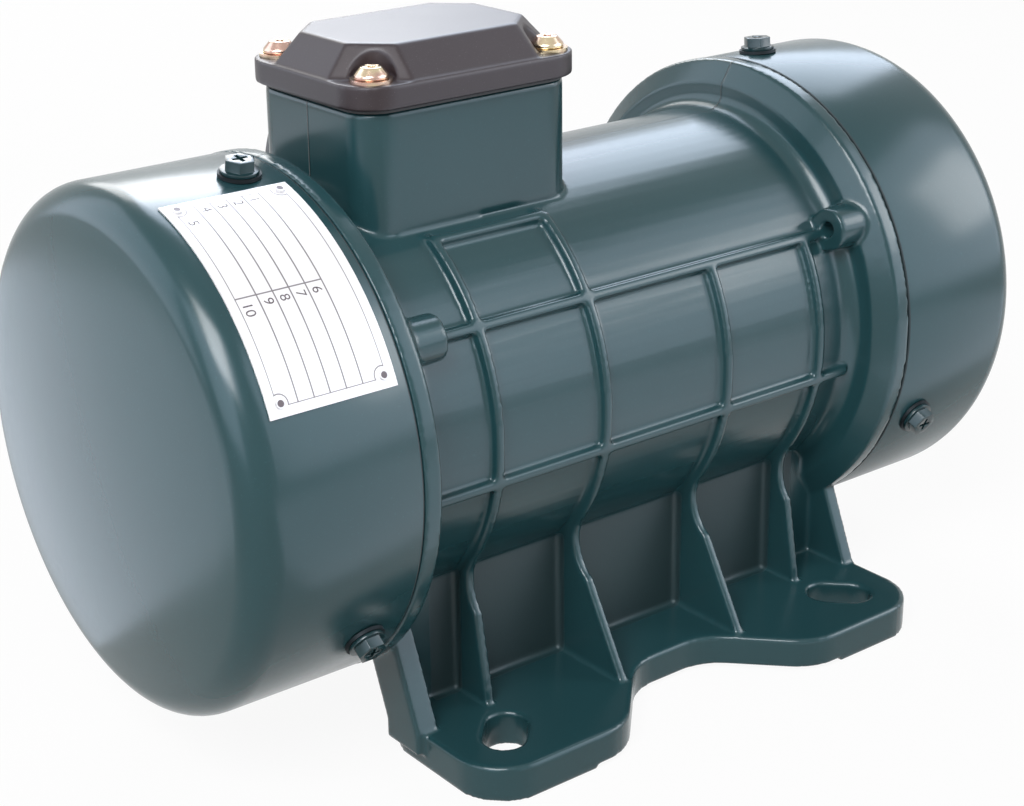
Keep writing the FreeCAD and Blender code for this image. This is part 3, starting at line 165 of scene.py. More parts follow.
class FinishSettings(bpy.types.PropertyGroup):
    """Colours and surface values of the motor's finishes."""
    paint: bpy.props.FloatVectorProperty(
        name="Paint", description="Paint on the castings and covers", subtype="COLOR",
        size=3, min=0, max=1, default=(0.014, 0.05, 0.058))
    # Thin paint in the recesses, partly painted shade: its colour is darkened to stand for the shade there.
    bare_recess: bpy.props.FloatVectorProperty(
        name="Thin paint", description="Thin, dull paint in the recesses below the barrel", subtype="COLOR",
        size=3, min=0, max=1, default=(0.02, 0.029, 0.03))
    paint_roughness: bpy.props.FloatProperty(
        name="Paint roughness", description="0 is mirror smooth", subtype="FACTOR",
        min=0.05, max=1, default=0.17)
    paint_shine: bpy.props.FloatProperty(
        name="Paint shine", description="How strongly the paint mirrors", subtype="FACTOR",
        min=0, max=1, default=0.35)
    orange_peel: bpy.props.FloatProperty(
        name="Orange peel", description="Depth of the paint's small waves", unit="LENGTH",
        min=0, max=0.0005, default=0.00003)
    lid: bpy.props.FloatVectorProperty(
        name="Lid", description="Moulded lid of the terminal box", subtype="COLOR",
        size=3, min=0, max=1, default=(0.022, 0.0135, 0.0155))
    plate: bpy.props.FloatVectorProperty(
        name="Plate", description="Rating plate", subtype="COLOR",
        size=3, min=0, max=1, default=(0.8, 0.79, 0.81))
    plate_ink: bpy.props.FloatVectorProperty(
        name="Plate ink", description="Lines and numbers on the rating plate", subtype="COLOR",
        size=3, min=0, max=1, default=(0.08, 0.06, 0.065))
    zinc: bpy.props.FloatVectorProperty(
        name="Zinc", description="Yellow zinc on the lid screws", subtype="COLOR",
        size=3, min=0, max=1, default=(0.6, 0.5, 0.33))
    sheath: bpy.props.FloatVectorProperty(
        name="Cable sheath", description="Rubber of the supply cable", subtype="COLOR",
        size=3, min=0, max=1, default=(0.06, 0.062, 0.066))


class ShapeSettings(bpy.types.PropertyGroup):
    """Sizes that the dressed pieces are modelled to."""
    cast_grain: bpy.props.FloatProperty(
        name="Casting grain", description="Spacing of the points that round the casting's edges",
        unit="LENGTH", min=0.0006, max=0.003, default=0.00075)
    lid_grain: bpy.props.FloatProperty(
        name="Lid grain", description="Spacing of the points that round the lid's edges", unit="LENGTH",
        min=0.0003, max=0.002, default=0.00055)
    edge_round: bpy.props.FloatProperty(
        name="Edge round", description="Small round on turned and pressed pieces", unit="LENGTH",
        min=0.0001, max=0.001, default=0.00025)
    cover_wall: bpy.props.FloatProperty(
        name="Cover wall", description="Thickness of the end covers", unit="LENGTH",
        min=0.001, max=0.005, default=0.0024)
    cover_crown: bpy.props.FloatProperty(
        name="Cover crown", description="How far a cover's end rises in its middle", unit="LENGTH",
        min=0, max=0.005, default=0.005)
    cover_round: bpy.props.FloatProperty(
        name="Cover round", description="Round between a cover's side and its end", unit="LENGTH",
        min=0.002, max=0.02, default=0.0105)
    figure_height: bpy.props.FloatProperty(
        name="Plate figures", description="Height of the figures on the rating plate", unit="LENGTH",
        min=0.001, max=0.004, default=0.003)


class StageSettings(bpy.types.PropertyGroup):
    """Floor, lamps and backdrop."""
    floor: bpy.props.FloatVectorProperty(
        name="Floor", description="Floor colour", subtype="COLOR",
        size=3, min=0, max=1, default=(0.75, 0.75, 0.75))
    key: bpy.props.FloatProperty(
        name="Key lamp", description="Power of the large lamp above and to the left", unit="POWER",
        min=0, default=26)
    fill: bpy.props.FloatProperty(
        name="Fill lamp", description="Power of the lamp on the right", unit="POWER", min=0, default=8)
    rim: bpy.props.FloatProperty(
        name="Rear lamp", description="Power of the lamp behind", unit="POWER", min=0, default=11)
    reflector: bpy.props.FloatProperty(
        name="Reflectors", description="Brightness of the large cards that only show as reflections",
        min=0, default=4)
    ambient: bpy.props.FloatProperty(
        name="Ambient", description="Light that comes from all round", subtype="FACTOR",
        min=0, max=1, default=0.28)


# Modelling helpers ----------------------------------------------------------------

def select_only(piece):
    """Make one piece the only selected one, in object mode."""
    if bpy.context.mode != "OBJECT":
        bpy.ops.object.mode_set(mode="OBJECT")
    bpy.ops.object.select_all(action="DESELECT")
    piece.select_set(True)
    bpy.context.view_layer.objects.active = piece


@contextlib.contextmanager
def editing(piece):
    """Edit mode on one piece, with nothing selected at first."""
    select_only(piece)
    bpy.ops.object.mode_set(mode="EDIT")
    bpy.ops.mesh.select_mode(type="FACE")
    bpy.ops.mesh.select_all(action="DESELECT")
    yield
    bpy.ops.object.mode_set(mode="OBJECT")


def choose(piece, elements, test):
    """Select the faces or edges that pass a test, in edit mode."""
    bpy.ops.mesh.select_mode(type=elements)
    bpy.ops.mesh.select_all(action="DESELECT")
    grid = bmesh.from_edit_mesh(piece.data)
    found = 0
    for element in (grid.faces if elements == "FACE" else grid.edges):
        if test(element):
            element.select_set(True)
            found += 1
    grid.select_flush_mode()
    bmesh.update_edit_mesh(piece.data)
    if not found:
        raise RuntimeError(f"{piece.name}: nothing was found to select")


def settle(piece):
    """Put a piece's place and turn into its mesh."""
    select_only(piece)
    bpy.ops.object.transform_apply(location=True, rotation=True, scale=True)


def finish_with(piece, kind, **settings):
    """Add a modifier with these settings and apply it."""
    select_only(piece)
    modifier = piece.modifiers.new(kind.title(), kind)
    for name, value in settings.items():
        setattr(modifier, name, value)
    bpy.ops.object.modifier_apply(modifier=modifier.name)


def smooth(piece, angle=32):
    """Shade a piece smooth, but for the edges sharper than this angle in degrees."""
    select_only(piece)
    bpy.ops.object.shade_smooth_by_angle(angle=math.radians(angle))


def weld(piece, closer=0.000002, outwards=False):
    """Join points that are closer than this and, if asked, turn every face outwards."""
    with editing(piece):
        bpy.ops.mesh.select_all(action="SELECT")
        bpy.ops.mesh.remove_doubles(threshold=closer)
        if outwards:
            bpy.ops.mesh.normals_make_consistent(inside=False)


def merged_copy(node, name):
    """A copy of a frame node's shape with its triangles joined into one skin."""
    piece = bpy.data.objects.new(name, frame["nodes"][node].data.copy())
    bpy.context.scene.collection.objects.link(piece)
    piece.data.materials.clear()
    select_only(piece)
    bpy.ops.mesh.customdata_custom_splitnormals_clear()
    weld(piece)
    return piece


def softened(node, name, width, segments=2):
    """A merged copy whose sharp edges are rounded."""
    piece = merged_copy(node, name)
    with editing(piece):
        bpy.ops.mesh.select_all(action="SELECT")
        bpy.ops.mesh.dissolve_limited(angle_limit=math.radians(0.5))
    finish_with(piece, "BEVEL", width=width, segments=segments, limit_method="ANGLE",
                angle_limit=math.radians(32), use_clamp_overlap=True, loop_slide=False)
    smooth(piece)
    return piece


def rounder_outlines(piece):
    """Make the foot's outline and the ribs' bends run round.

    Both are rows of narrow flats in the housing, and the edges between the flats are bevelled.
    """
    def upright_or_level(face):
        low_down = face.calc_center_median().z < Casting.rib_foot_top
        return low_down and (abs(face.normal.z) < 0.01 or abs(face.normal.x) < 0.01)

    def between_flats(edge):
        least, most = Casting.flats_bend
        if not edge.is_manifold or not least < edge.calc_face_angle() < most:
            return False
        first, second = (vertex.co for vertex in edge.verts)
        reach = first - second
        upright = max(abs(reach.x), abs(reach.y)) < HAIR and abs(reach.z) > Casting.foot_edge
        narrow, wide = Casting.rib_width
        across = max(abs(reach.y), abs(reach.z)) < HAIR and narrow < abs(reach.x) < wide
        on_rib_foot = abs(first.y) > Casting.rib_foot_start and first.z < Casting.rib_foot_top
        return (upright and max(first.z, second.z) < Casting.foot_top) or (across and on_rib_foot)

    with editing(piece):
        choose(piece, "FACE", upright_or_level)
        bpy.ops.mesh.dissolve_limited(angle_limit=math.radians(0.5))
        choose(piece, "EDGE", between_flats)
        bpy.ops.mesh.bevel(offset=36, offset_type="PERCENT", segments=3, profile=0.5, affect="EDGES")


def moulded(node, name, grain, passes, triangles, prepare=None):
    """A merged copy rebuilt as one even skin and relaxed, so that its edges and inner corners are round."""
    piece = merged_copy(node, name)
    if prepare:
        prepare(piece)
    finish_with(piece, "REMESH", mode="VOXEL", voxel_size=grain, use_smooth_shade=True)
    finish_with(piece, "SMOOTH", factor=0.5, iterations=passes)
    count = 2 * len(piece.data.polygons)
    if count > triangles:
        finish_with(piece, "DECIMATE", ratio=triangles / count)
    select_only(piece)
    bpy.ops.object.shade_smooth()
    return piece


def swept(name, kind, points, thickness, roundness):
    """A round curve piece along these points."""
    data = bpy.data.curves.new(name, "CURVE")
    data.dimensions, data.resolution_u, data.use_fill_caps = "3D", 8, True
    data.bevel_depth, data.bevel_resolution = thickness, roundness
    spline = data.splines.new(kind)
    spline.points.add(len(points) - 1)
    for point, place in zip(spline.points, points):
        point.co = (*place, 1)
    piece = bpy.data.objects.new(name, data)
    bpy.context.scene.collection.objects.link(piece)
    return piece


def dress(piece, material, body, slot, *nodes):
    """Give a piece its material and body, and hide the nodes it stands for. The slot is not used."""
    piece.data.materials.clear()
    piece.data.materials.append(material)
    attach(piece, body)
    if nodes:
        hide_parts(*nodes)
    return piece


def coat(material, *nodes):
    """Give frame nodes a finished material."""
    for name in nodes:
        for holder in frame["nodes"][name].material_slots:
            holder.material = material


# Material helpers -----------------------------------------------------------------

class Value:
    """A number that changes over the surface, so that shader sums are written as Python sums."""

    def __init__(self, finish, socket):
        self.finish, self.socket = finish, socket

    def math(self, operation, *others):
        sockets = dict(enumerate((self, *others)))
        return self.finish.add("ShaderNodeMath", {"operation": operation}, sockets)

    def __add__(self, other):
        return self.math("ADD", other)

    __radd__ = __add__

    def __mul__(self, other):
        return self.math("MULTIPLY", other)

    __rmul__ = __mul__

    def __sub__(self, other):
        return self.math("SUBTRACT", other)

    def __rsub__(self, other):
        return (self * -1) + other

    def near(self, centre, half, soft):
        """1 within half of a centre, fading to 0 over soft."""
        away = self.math("SUBTRACT", centre).math("ABSOLUTE")
        return self.finish.ramp(away, half + soft, half)

    def over(self, start, end):
        """0 at start, 1 at end and past it."""
        return self.finish.ramp(self, start, end)


class Finish:
    """One procedural material on object coordinates."""

    def __init__(self, name):
        self.material = bpy.data.materials.new(name)
        self.material.use_nodes = True
        self.tree = self.material.node_tree
        self.tree.nodes.clear()
        self.place = self.add("ShaderNodeTexCoord", output="Object")
        split = self.add("ShaderNodeSeparateXYZ", {}, {"Vector": self.place}, output=None)
        self.x, self.y, self.z = (Value(self, split.outputs[name]) for name in "XYZ")

    def add(self, kind, settings=None, sockets=None, output=0):
        """Add a node: its settings, the values or links of its sockets, and which output to return."""
        made = self.tree.nodes.new(kind)
        for name, value in (settings or {}).items():
            setattr(made, name, value)
        for name, value in (sockets or {}).items():
            if isinstance(value, Value):
                self.tree.links.new(value.socket, made.inputs[name])
            else:
                made.inputs[name].default_value = value
        return made if output is None else Value(self, made.outputs[output])

    def ramp(self, value, start, end):
        """0 at start and 1 at end, eased."""
        return self.add("ShaderNodeMapRange", {"interpolation_type": "SMOOTHSTEP"}, {
            "Value": value, "From Min": min(start, end), "From Max": max(start, end),
            "To Min": float(start > end), "To Max": float(start < end)})

    def noise(self, scale, detail=2):
        """Soft random spots from 0 to 1; a larger scale makes them smaller."""
        return self.add("ShaderNodeTexNoise", {}, {"Vector": self.place, "Scale": scale, "Detail": detail})

    def blend(self, factor, first, second):
        """Mix two colours."""
        first, second = (value if isinstance(value, Value) else (*value, 1) for value in (first, second))
        sockets = {0: factor, 6: first, 7: second}
        return self.add("ShaderNodeMix", {"data_type": "RGBA"}, sockets, output=2)

    def bump(self, height, distance):
        """Surface normal from a height of 0 to 1 and the depth that 1 stands for."""
        return self.add("ShaderNodeBump", {}, {"Height": height, "Distance": distance, "Strength": 1.0})

    def surface(self, **sockets):
        """The shader: names are the sockets' own, with _ for a space."""
        named = {name.replace("_", " "): value for name, value in sockets.items()}
        for name, value in named.items():
            if isinstance(value, tuple) and len(value) == 3:
                named[name] = (*value, 1)
        shader = self.add("ShaderNodeBsdfPrincipled", {}, named)
        self.add("ShaderNodeOutputMaterial", {}, {"Surface": shader}, output=None)
        return self.material


def shade(colour, factor):
    """A colour made darker or lighter."""
    return tuple(min(1.0, channel * factor) for channel in colour)


def bay_share(finish):
    """1 in the housing's bays, where the paint is thin and painted shade darkens it, and 0 elsewhere."""
    side = finish.y.math("ABSOLUTE")
    share = finish.z.near(Casting.bay_height, Casting.bay_half_height, 0.004)
    share = share * side.near(0.0, Casting.bay_mouth, 0.0015) * side.over(*Casting.bay_back)
    return share * finish.x.near(Casting.bay_middle, Casting.bay_half_length, 0.001)


def paint_finish(name, settings, cast=False, tone=1.0):
    """Sprayed semi-gloss paint, tone times as light.

    On a casting it is lumpier, thin in the bays, where painted shade darkens it, and has the mould's seam;
    otherwise a cover's rim has a painted shadow line for the gap.
    """
    finish = Finish(name)
    slow, peel, sand = finish.noise(9), finish.noise(420), finish.noise(1500)
    lumps = finish.noise(55, 3)
    paint = shade(tuple(settings.paint), tone)
    colour = finish.blend(slow, shade(paint, 0.86), shade(paint, 1.16))
    colour = finish.blend(sand.over(0.62, 0.8) * 0.35, colour, shade(paint, 1.8))
    roughness = settings.paint_roughness + slow * 0.06 + peel * 0.05
    height = peel * 0.5 + lumps * (1.6 if cast else 0.6)
    if cast:
        bay = bay_share(finish)
        # Thin, rough paint in the bays, its colour darkened as painted shade.
        colour = finish.blend(bay * (0.45 + sand * 0.4), colour, tuple(settings.bare_recess))
        roughness = roughness + bay * 0.25
        seam = finish.y.near(0.0, Casting.seam_half_width, 0.0003)
        seam = seam * finish.z.over(Casting.seam_bottom, Casting.seam_bottom + 0.01)
        colour = finish.blend(seam * 0.7, colour, shade(paint, 0.3))
        height = height + sand * (0.12 + bay * 0.8) + seam * 4
    else:
        # Painted shadow: a dark line at the cover's rim stands for the shade in the gap to the flange.
        rim = finish.x.math("ABSOLUTE").near(COVER_RIM, 0.0005, 0.0003)
        colour = finish.blend(rim * 0.9, colour, shade(paint, 0.1))
        roughness = roughness + rim * 0.4
    return finish.surface(
        Base_Color=colour, Roughness=roughness, IOR=1.5, Specular_IOR_Level=settings.paint_shine,
        Normal=finish.bump(height, settings.orange_peel))


def lid_finish(settings):
    """Semi-gloss black moulding with a fine spark texture and a little dust."""
    finish = Finish("lid_plastic")
    texture, dust, slow = finish.noise(1400), finish.noise(2600, 1), finish.noise(22)
    colour = finish.blend(dust.over(0.66, 0.8) * 0.3, tuple(settings.lid), (0.16, 0.15, 0.15))
    return finish.surface(
        Base_Color=colour, Roughness=0.36 + slow * 0.1, IOR=1.5, Specular_IOR_Level=0.4,
        Normal=finish.bump(texture + slow * 3, 0.00001))


def on_plate(finish):
    """Place on the rating plate: how far down from its top end, and across from its outer edge."""
    angle = (finish.z - AXIS_HEIGHT).math("ARCTAN2", finish.y * -1)
    return (Plate.top_angle - angle) * Plate.radius, finish.x - Plate.start


def from_rivets(down, across):
    """How far a point of the plate is from each of its four rivets."""
    return [((down - where_down).math("POWER", 2) + (across - where_across).math("POWER", 2)).math("SQRT")
            for where_down in (Plate.rivet_down, Plate.length - Plate.rivet_down)
            for where_across in (Plate.rivet_across, Plate.width - Plate.rivet_across)]


def rivet_finish(settings):
    """Pale rivet heads with a dark, punched middle."""
    finish = Finish("plate_rivet")
    wear = finish.noise(2200)
    dark = sum(away.over(Plate.rivet_punch, 0.0009) for away in from_rivets(*on_plate(finish)))
    rim = finish.blend(wear, shade(tuple(settings.plate), 0.75), tuple(settings.plate))
    colour = finish.blend(dark, rim, tuple(settings.plate_ink))
    return finish.surface(
        Base_Color=colour, Metallic=0.2, Roughness=0.35 + wear * 0.1, Normal=finish.bump(wear, 0.000006))


def plate_finish(settings):
    """White plate with a ruled border, a bare heading and two columns of cells."""
    finish = Finish("plate_metal")
    down, across = on_plate(finish)
    line, soft = 0.00016, 0.00012
    inside = down.near(Plate.length / 2, Plate.length / 2 - Plate.margin, soft)
    inside = inside * across.near(Plate.width / 2, Plate.width / 2 - Plate.margin, soft)
    ink = down.near(Plate.margin, line, soft) + down.near(Plate.length - Plate.margin, line, soft)
    for place in (Plate.margin, Plate.width - Plate.margin, *Plate.rows):
        ink = ink + across.near(place, line, soft)
    split = down.near(Plate.split, line, soft) * across.near(
        (Plate.margin + Plate.rows[-1]) / 2, (Plate.rows[-1] - Plate.margin) / 2, soft)
    ink = (ink + split) * inside
    for away in from_rivets(down, across):
        ink = ink * away.over(0.0025, Plate.rivet_ring)
        ink = ink + away.near(Plate.rivet_ring, 0.00013, soft) * inside
    ink = ink.math("MINIMUM", 1.0)
    grain, smudge = finish.noise(900), finish.noise(60)
    colour = finish.blend(smudge, tuple(settings.plate), shade(tuple(settings.plate), 0.93))
    colour = finish.blend(ink * 0.85, colour, tuple(settings.plate_ink))
    return finish.surface(
        Base_Color=colour, Metallic=0.1, Roughness=0.34 + smudge * 0.12, Normal=finish.bump(grain, 0.000006))


def metal_finish(name, colour, roughness=0.3, second=None, streak=None):
    """Metal with a slow change of tone, fine scratches and, if asked, turning marks along the shaft."""
    finish = Finish(name)
    slow, fine = finish.noise(160), finish.noise(1900)
    tone = finish.blend(slow.over(0.35, 0.65), colour, second or shade(colour, 0.8))
    height = fine
    if streak:
        height = height + (finish.x * (2 * math.pi / streak)).math("SINE") * 1.5
    return finish.surface(
        Base_Color=tone, Metallic=1.0, Roughness=roughness + slow * 0.15,
        Normal=finish.bump(height, 0.000012))


def plain_finish(name, colour, roughness, sheen_grain=1200, depth=0.00002):
    """Dull moulding or rubber with a fine grain and slightly worn high spots."""
    finish = Finish(name)
    grain, slow = finish.noise(sheen_grain, 3), finish.noise(45)
    tone = finish.blend(slow, shade(colour, 0.85), shade(colour, 1.2))
    tone = finish.blend(grain.over(0.6, 0.75) * 0.25, tone, shade(colour, 2.2))
    return finish.surface(
        Base_Color=tone, Roughness=roughness + slow * 0.12, Normal=finish.bump(grain + slow, depth))


def winding_finish():
    """Enamelled copper wire in close rings."""
    finish = Finish("copper_wire")
    up = finish.z - AXIS_HEIGHT
    far = (up * up + finish.y * finish.y).math("SQRT")
    wires = (far * (2 * math.pi / 0.0009)).math("SINE") * 0.5 + 0.5
    varnish = finish.noise(300, 3)
    tone = finish.blend(wires, (0.2, 0.06, 0.02), (0.62, 0.26, 0.1))
    tone = finish.blend(varnish.over(0.55, 0.7) * 0.5, tone, (0.35, 0.1, 0.03))
    return finish.surface(
        Base_Color=tone, Metallic=0.7, Roughness=0.3 + varnish * 0.2, Normal=finish.bump(wires, 0.0001))


def lamination_finish():
    """Stacked steel sheets under varnish."""
    finish = Finish("core_steel")
    sheets = (finish.x * (2 * math.pi / 0.001)).math("SINE") * 0.5 + 0.5
    stain = finish.noise(70, 3)
    tone = finish.blend(sheets, (0.1, 0.1, 0.11), (0.3, 0.3, 0.31))
    tone = finish.blend(stain.over(0.55, 0.7) * 0.4, tone, (0.16, 0.1, 0.06))
    return finish.surface(
        Base_Color=tone, Metallic=0.8, Roughness=0.38 + stain * 0.2, Normal=finish.bump(sheets, 0.00006))


# Operators ------------------------------------------------------------------------

class MotorPiece:
    """What the operators share."""
    bl_options = {"REGISTER", "UNDO"}

    @staticmethod
    def settings():
        scene = bpy.context.scene
        return scene.motor_finish, scene.motor_shape, scene.motor_stage


class MOTOR_OT_stage(MotorPiece, bpy.types.Operator):
    """Set up the camera, the pale floor, the lamps and the white surround"""
    bl_idname = "motor.stage"
    bl_label = "Stage, lamps and camera"

    def execute(self, context):
        stage = self.settings()[2]
        self.camera()
        self.floor(stage)
        middle = Vector((0, 0, 0.1))
        for name, place, size, power in LAMPS:
            self.lamp(name, place, middle, size, getattr(stage, power))
        for name, place, size, share in CARDS:
            self.card(name, place, middle, size, stage.reflector * share)
        for name, (x, y), share in TABLE_CARDS:
            self.card(name, (x, y, 0.001), Vector((x, y, 1)), 0.6, stage.reflector * share)
        self.surround(stage)
        context.scene.view_settings.view_transform = "Standard"
        return {"FINISHED"}

    @staticmethod
    def camera():
        data = bpy.data.cameras.new("camera")
        camera = bpy.data.objects.new("camera", data)
        bpy.context.scene.collection.objects.link(camera)
        azimuth, height, roll = map(math.radians, View.angles)
        back = Vector((math.sin(azimuth) * math.cos(height), -math.cos(azimuth) * math.cos(height),
                       math.sin(height)))
        camera.location = Vector(View.target) + back * View.distance
        camera.rotation_mode = "QUATERNION"
        camera.rotation_quaternion = (-back).to_track_quat("-Z", "Y")
        camera.rotation_quaternion.rotate(Quaternion(back, roll))
        data.lens, data.sensor_width = View.lens, View.sensor
        data.shift_x, data.shift_y = View.shift
        data.clip_start, data.clip_end = 0.01, 20
        bpy.context.scene.camera = camera

    @staticmethod
    def floor(stage):
        bpy.ops.object.select_all(action="DESELECT")
        bpy.ops.mesh.primitive_plane_add(size=8, location=(0, 0, -0.0002))
        floor = bpy.context.object
        floor.name = "floor"
        finish = Finish("floor_paper")
        path = finish.add("ShaderNodeLightPath", output=None)
        seen = Value(finish, path.outputs["Is Camera Ray"])
        for name in ("Is Glossy Ray", "Is Transmission Ray"):
            seen = seen + Value(finish, path.outputs[name])
        speck = finish.noise(30)
        colour = finish.blend(speck, tuple(stage.floor), shade(tuple(stage.floor), 0.98))
        paper = finish.add("ShaderNodeBsdfDiffuse", {}, {"Color": colour})
        glow = finish.add("ShaderNodeEmission", {}, {"Color": (1, 1, 1, 1), "Strength": 1.0})
        white = seen.math("MINIMUM", 1.0) * FLOOR_WHITE
        mixed = finish.add("ShaderNodeMixShader", {}, {0: white, 1: paper, 2: glow})
        finish.add("ShaderNodeOutputMaterial", {}, {"Surface": mixed}, output=None)
        floor.data.materials.append(finish.material)

    @staticmethod
    def lamp(name, place, target, size, power):
        data = bpy.data.lights.new(name, "AREA")
        data.shape, data.size, data.energy = "SQUARE", size, power
        lamp = bpy.data.objects.new(name, data)
        lamp.location = place
        lamp.rotation_euler = (target - Vector(place)).to_track_quat("-Z", "Y").to_euler()
        bpy.context.scene.collection.objects.link(lamp)
        return lamp

    @classmethod
    def card(cls, name, place, target, size, brightness):
        """A glowing card that lights nothing and is only seen mirrored in the paint."""
        card = cls.lamp(name, place, target, size, brightness * math.pi * size ** 2)
        card.data.color = (0.72, 0.83, 1)
        card.visible_camera = card.visible_diffuse = card.visible_transmission = False

    @staticmethod
    def surround(stage):
        world = bpy.data.worlds.new("surround")
        bpy.context.scene.world = world
        world.use_nodes = True
        tree = world.node_tree
        tree.nodes.clear()
        path = tree.nodes.new("ShaderNodeLightPath")
        total = path.outputs["Is Camera Ray"]
        for name in ("Is Glossy Ray", "Is Transmission Ray"):
            added = tree.nodes.new("ShaderNodeMath")
            added.use_clamp = True
            tree.links.new(total, added.inputs[0])
            tree.links.new(path.outputs[name], added.inputs[1])
            total = added.outputs[0]
        lit, seen = (tree.nodes.new("ShaderNodeBackground") for _ in range(2))
        lit.inputs["Strength"].default_value = stage.ambient
        for background in (lit, seen):
            background.inputs["Color"].default_value = (1, 1, 1, 1)
        mixed, output = tree.nodes.new("ShaderNodeMixShader"), tree.nodes.new("ShaderNodeOutputWorld")
        tree.links.new(total, mixed.inputs[0])
        tree.links.new(lit.outputs[0], mixed.inputs[1])
        tree.links.new(seen.outputs[0], mixed.inputs[2])
        tree.links.new(mixed.outputs[0], output.inputs["Surface"])


class MOTOR_OT_cable(MotorPiece, bpy.types.Operator):
    """Lay the supply cable from its gland, round its coil and into the plug"""
    bl_idname = "motor.cable"
    bl_label = "Supply cable"

    def execute(self, context):
        finish = self.settings()[0]
        rubber = plain_finish("cord_rubber", tuple(finish.sheath), 0.42, 900, 0.00003)
        moulding = plain_finish("gland_plastic", (0.02, 0.021, 0.023), 0.4)
        cable = swept("supply_cable", "NURBS", LEAD + self.coil() + TAIL, CORD_RADIUS, 5)
        spline = cable.data.splines[0]
        spline.order_u, spline.use_endpoint_u = 3, True
        dress(cable, rubber, "motor_frame", "cord_rubber", "supply_cord", "supply_cord_coil")
        sleeve = self.sleeve(cable, moulding)
        plug = softened("plug_body", "plug_moulding", 0.0009, 3)
        dress(plug, moulding, "motor_frame", "gland_plastic", "plug_body")
        coat(metal_finish("plug_brass", (0.75, 0.55, 0.25), 0.25), "plug_pins")
        for node, name in (("gland_body", "gland_hexagon"), ("gland_nut", "gland_cap")):
            dress(softened(node, name, 0.00045), moulding, "motor_frame", "gland_plastic", node)
        coat(plain_finish("seal_rubber", (0.02, 0.02, 0.02), 0.6), "gland_seal", "lid_gasket")
        return {"FINISHED"}

    @staticmethod
    def coil():
        """The coil's turns: outside then inside below, inside then outside above."""
        def done(turned, change):
            start, length = change
            return min(1, max(0, (turned - start) / length))

        # The curve passes inside its points, so they lie further out by this much.
        slack = 0.75 + 0.25 * math.cos(math.radians(Coil.step))
        points = []
        for turned in range(Coil.step, Coil.length, Coil.step):
            inward = done(turned, Coil.inwards) - done(turned, Coil.outwards)
            radius = (Coil.outer + (Coil.inner - Coil.outer) * inward) / slack
            height = Coil.low + (Coil.high - Coil.low) * done(turned, Coil.upwards)
            angle = math.radians(Coil.start + turned)
            x, y = Coil.centre
            points.append((x + radius * math.cos(angle), y + radius * math.sin(angle), height))
        return points

    @staticmethod
    def sleeve(cable, material):
        """Tapered sleeve that follows the cable out of its gland."""
        bare = cable.data.copy()
        bare.bevel_depth = 0
        guide = bpy.data.objects.new("guide", bare)
        bpy.context.scene.collection.objects.link(guide)
        line = bpy.data.meshes.new_from_object(guide.evaluated_get(bpy.context.evaluated_depsgraph_get()))
        places = [vertex.co.copy() for vertex in line.vertices]
        bpy.data.objects.remove(guide)
        along, points, radii = 0.0, [], []
        for before, after in zip(places, places[1:]):
            along += (after - before).length
            if Sleeve.start < along < Sleeve.end:
                points.append(after)
                radii.append(Sleeve.radius - Sleeve.taper * along)
        unit = 0.001
        sleeve = swept("cable_sleeve", "POLY", points, unit, 6)
        for point, radius in zip(sleeve.data.splines[0].points, radii):
            point.radius = radius / unit
        select_only(sleeve)
        bpy.ops.object.convert(target="MESH")
        sleeve = bpy.context.object
        weld(sleeve, outwards=True)
        smooth(sleeve, 40)
        return dress(sleeve, material, "motor_frame", "gland_plastic")


class MOTOR_OT_housing(MotorPiece, bpy.types.Operator):
    """Round and paint the cast housing and both end shields"""
    bl_idname = "motor.housing"
    bl_label = "Cast housing and end shields"

    def execute(self, context):
        finish, shape, _ = self.settings()
        paint = paint_finish("casting_paint", finish, cast=True)
        housing = moulded("motor_housing", "cast_housing", shape.cast_grain, passes=5, triangles=197000,
                          prepare=rounder_outlines)
        dress(housing, paint, "motor_frame", "casting_paint", "motor_housing")
        for name, _ in ENDS:
            shield = softened(f"{name}_end_shield", f"{name}_shield", shape.edge_round * 1.6)
            dress(shield, paint, "motor_frame", "casting_paint", f"{name}_end_shield")
        return {"FINISHED"}


